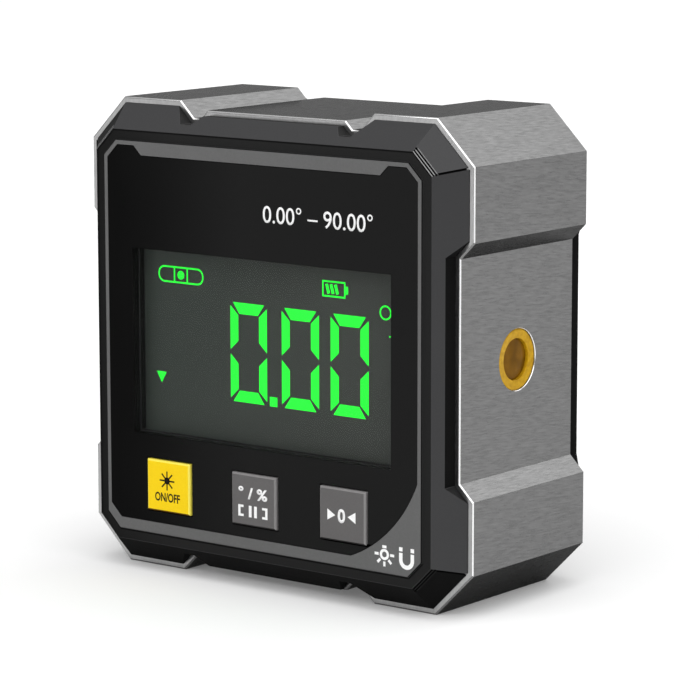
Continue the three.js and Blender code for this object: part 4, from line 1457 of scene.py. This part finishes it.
@dataclass
class BatteryBay:
    """The battery door with its thumb grip, the cells and their contacts."""

    edge_round: float = 0.12 * MM
    groove_count: int = 4
    groove_pitch: float = 1.3 * MM
    groove_radius: float = 0.45 * MM
    groove_round: float = 0.36 * MM
    groove_sunk: float = 0.25 * MM
    groove_length: float = 9.0 * MM
    groove_drop: float = 5.0 * MM
    cell_round: float = 0.15 * MM
    cell_end: float = 1.4 * MM

    def build(self) -> list[Piece]:
        """Makes the bay's pieces."""
        return [
            self.door(),
            *(self.cell(side) for side in ("left", "right")),
            *dress(NICKEL_PLATED_STEEL, "positive_contact", "negative_contact", "bridge_contact"),
        ]

    def door(self) -> Piece:
        """Makes the door and cuts the grip's grooves below its catch."""
        piece = round_edges(copy_of("battery_door", "door"), self.edge_round)
        edge = box_point("battery_door", 0.5, 1, 1) + BACK * (self.groove_radius - self.groove_sunk)
        for i in range(self.groove_count):
            groove = started(
                bpy.ops.mesh.primitive_cylinder_add, vertices=32, radius=self.groove_radius,
                depth=self.groove_length, rotation=(0, math.pi / 2, 0),
                location=edge - UP * (self.groove_drop + i * self.groove_pitch),
            )
            cut(piece, round_edges(groove, self.groove_round, segments=4, limit=60))
        return fit(paint(smooth(piece), SATIN_BLACK_ABS), "battery_door", SATIN_BLACK_ABS, "battery_door")

    def cell(self, side: str) -> Piece:
        """Makes a cell with a sleeve over its can and bare ends."""
        node = f"battery_cell_{side}"
        low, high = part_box(node)
        piece = round_edges(copy_of(node, f"cell_{side}"), self.cell_round, segments=3, limit=40)
        smooth(piece, limit=30)
        paint(piece, BLUE_SHRINK_SLEEVE)

        def at_end(face: Face) -> bool:
            """Tells whether a face is one of a cell's bare ends."""
            return min(face.center.z - low.z, high.z - face.center.z) < self.cell_end

        return fit(paint(piece, NICKEL_PLATED_STEEL, at_end), CASE, BLUE_SHRINK_SLEEVE, node)


@dataclass
class Electronics:
    """The board, what is on it, its screws and the magnets."""

    def build(self) -> list[Piece]:
        """Dresses the electronics and the magnets."""
        return [
            *dress(GREEN_SOLDER_RESIST, "main_board"),
            *dress(BLACK_MOULDED_EPOXY, "controller_chip", "tilt_sensor"),
            *dress(ZINC_PLATED_STEEL, *(f"board_screw_{i}" for i in range(1, 5))),
            *dress(NICKEL_PLATED_MAGNET, *(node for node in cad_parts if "magnet" in node)),
        ]


# Studio
@dataclass(frozen=True)
class Softbox:
    """A large lamp: where it hangs, seen from the object, its size and how bright its face looks."""

    name: str
    direction: tuple[float, float, float]
    distance: float
    width: float
    height: float
    level: float

    def hang(self, target: Vector) -> None:
        """Hangs the lamp so that it looks at the target."""
        lamp = bpy.data.lights.new(self.name, "AREA")
        lamp.shape = "RECTANGLE"
        lamp.size = self.width
        lamp.size_y = self.height
        lamp.energy = self.level * math.pi * self.width * self.height
        piece = stand(self.name, lamp)
        towards = Vector(self.direction).normalized()
        piece.location = target + towards * self.distance
        piece.rotation_euler = towards.to_track_quat("Z", "Y").to_euler()
        piece.visible_camera = False


@dataclass
class Studio:
    """The floor, the lamps, the world and the camera."""

    floor_size: float = 12.0
    floor_drop: float = 0.02 * MM
    floor_colour: str = "#F2F2F2"
    floor_glow: float = 0.11
    horizon: float = 0.08
    horizon_colour: str = "#7C7C7C"
    zenith_colour: str = "#B4B4B4"
    horizon_rise: float = 0.35
    sun_direction: tuple[float, float, float] = (0.25, -0.3, 0.9)
    sun_level: float = 2.08
    sun_angle: float = 90.0
    camera_place: Lengths = mm(252.215, -311.356, 95.761)
    camera_forward: tuple[float, float, float] = (-0.60350, 0.78069, -0.16221)
    camera_up: tuple[float, float, float] = (-0.09841, 0.12896, 0.98676)
    camera_lens: float = 169.2
    camera_clip: tuple[float, float] = (0.01, 100.0)
    softboxes: tuple[Softbox, ...] = (
        Softbox("back_softbox", (0.16, 0.78, 0.60), 0.7, 0.36, 0.36, 1.93),
        Softbox("rear_strip", (-0.60, 0.78, 0.17), 0.9, 0.5, 0.16, 0.65),
        Softbox("front_softbox", (-0.25, -0.9, 0.35), 1.0, 0.8, 0.8, 0.9),
    )

    def build(self) -> None:
        """Sets up the studio."""
        self.floor()
        self.world()
        self.camera()
        for softbox in self.softboxes:
            softbox.hang((CAD_BOX[0] + CAD_BOX[1]) / 2)
        self.sky_light()
        bpy.context.scene.view_settings.view_transform = "Standard"

    def floor(self) -> None:
        """Lays the pale floor, which keeps the object's shadow and glows faintly where it is seen."""
        place = -UP * self.floor_drop
        piece = started(bpy.ops.mesh.primitive_plane_add, "floor", size=self.floor_size, location=place)
        paper = bpy.data.materials.new("white_paper_floor")
        tree = empty_tree(paper)
        kinds = add(tree, "ShaderNodeLightPath").outputs
        seen = kinds["Is Camera Ray"]
        for kind in ("Is Glossy Ray", "Is Transmission Ray"):
            links = {0: seen, 1: kinds[kind]}
            seen = add(tree, "ShaderNodeMath", links=links, operation="MAXIMUM").outputs["Value"]
        glow = add(tree, "ShaderNodeMath", {1: self.floor_glow}, {0: seen}, operation="MULTIPLY")
        matt = add(tree, "ShaderNodeBsdfDiffuse", {"Color": linear(self.floor_colour)})
        lit = add(tree, "ShaderNodeEmission", {"Color": (1, 1, 1, 1)}, {"Strength": glow.outputs["Value"]})
        both = add(tree, "ShaderNodeAddShader", links={0: matt.outputs["BSDF"], 1: lit.outputs["Emission"]})
        add(tree, "ShaderNodeOutputMaterial", links={"Surface": both.outputs["Shader"]})
        piece.data.materials.append(paper)

    def sky_light(self) -> None:
        """Hangs a wide soft light above, which lights the whole floor alike."""
        lamp = bpy.data.lights.new("sky_light", "SUN")
        lamp.energy = self.sun_level
        lamp.angle = math.radians(self.sun_angle)
        towards = Vector(self.sun_direction)
        stand("sky_light", lamp).rotation_euler = towards.to_track_quat("Z", "Y").to_euler()

    def world(self) -> None:
        """Fills the room with grey light, darker towards the horizon."""
        world = bpy.data.worlds.new("studio")
        tree = empty_tree(world)
        way = add(tree, "ShaderNodeTexCoord").outputs["Generated"]
        height = add(tree, "ShaderNodeSeparateXYZ", links={"Vector": way}).outputs["Z"]
        stops = ((self.horizon, self.horizon_colour), (self.horizon + self.horizon_rise, self.zenith_colour))
        rise = add(tree, "ShaderNodeValToRGB", links={"Fac": height}, stops=stops)
        sky = add(tree, "ShaderNodeBackground", links={"Color": rise.outputs["Color"]})
        add(tree, "ShaderNodeOutputWorld", links={"Surface": sky.outputs["Background"]})
        bpy.context.scene.world = world

    def camera(self) -> None:
        """Stands the camera where the photograph was taken from, measured from the metal's front."""
        data = bpy.data.cameras.new("camera")
        data.lens = self.camera_lens
        data.clip_start, data.clip_end = self.camera_clip
        camera = stand("camera", data)
        forward = Vector(self.camera_forward).normalized()
        right = forward.cross(Vector(self.camera_up)).normalized()
        turn = Matrix((right, right.cross(forward), -forward)).transposed().to_4x4()
        place = Vector(self.camera_place) + BACK * METAL_FRONT
        camera.matrix_world = Matrix.Translation(place) @ turn
        bpy.context.scene.camera = camera


def main() -> None:
    """Builds the studio and every sub-assembly in order, and reports each piece."""
    logging.basicConfig(level=logging.INFO, format="%(name)s: %(message)s")
    Studio().build()
    for unit in (
        MetalFrame(), FrontHousing(), LcdUnit(), Keypad(), LaserPort(), RearHousing(), BatteryBay(),
        Electronics(),
    ):
        for piece in unit.build():
            log.info("%s: %s, %d faces", type(unit).__name__, piece.name, len(piece.data.polygons))


if __name__ == "__main__":
    main()
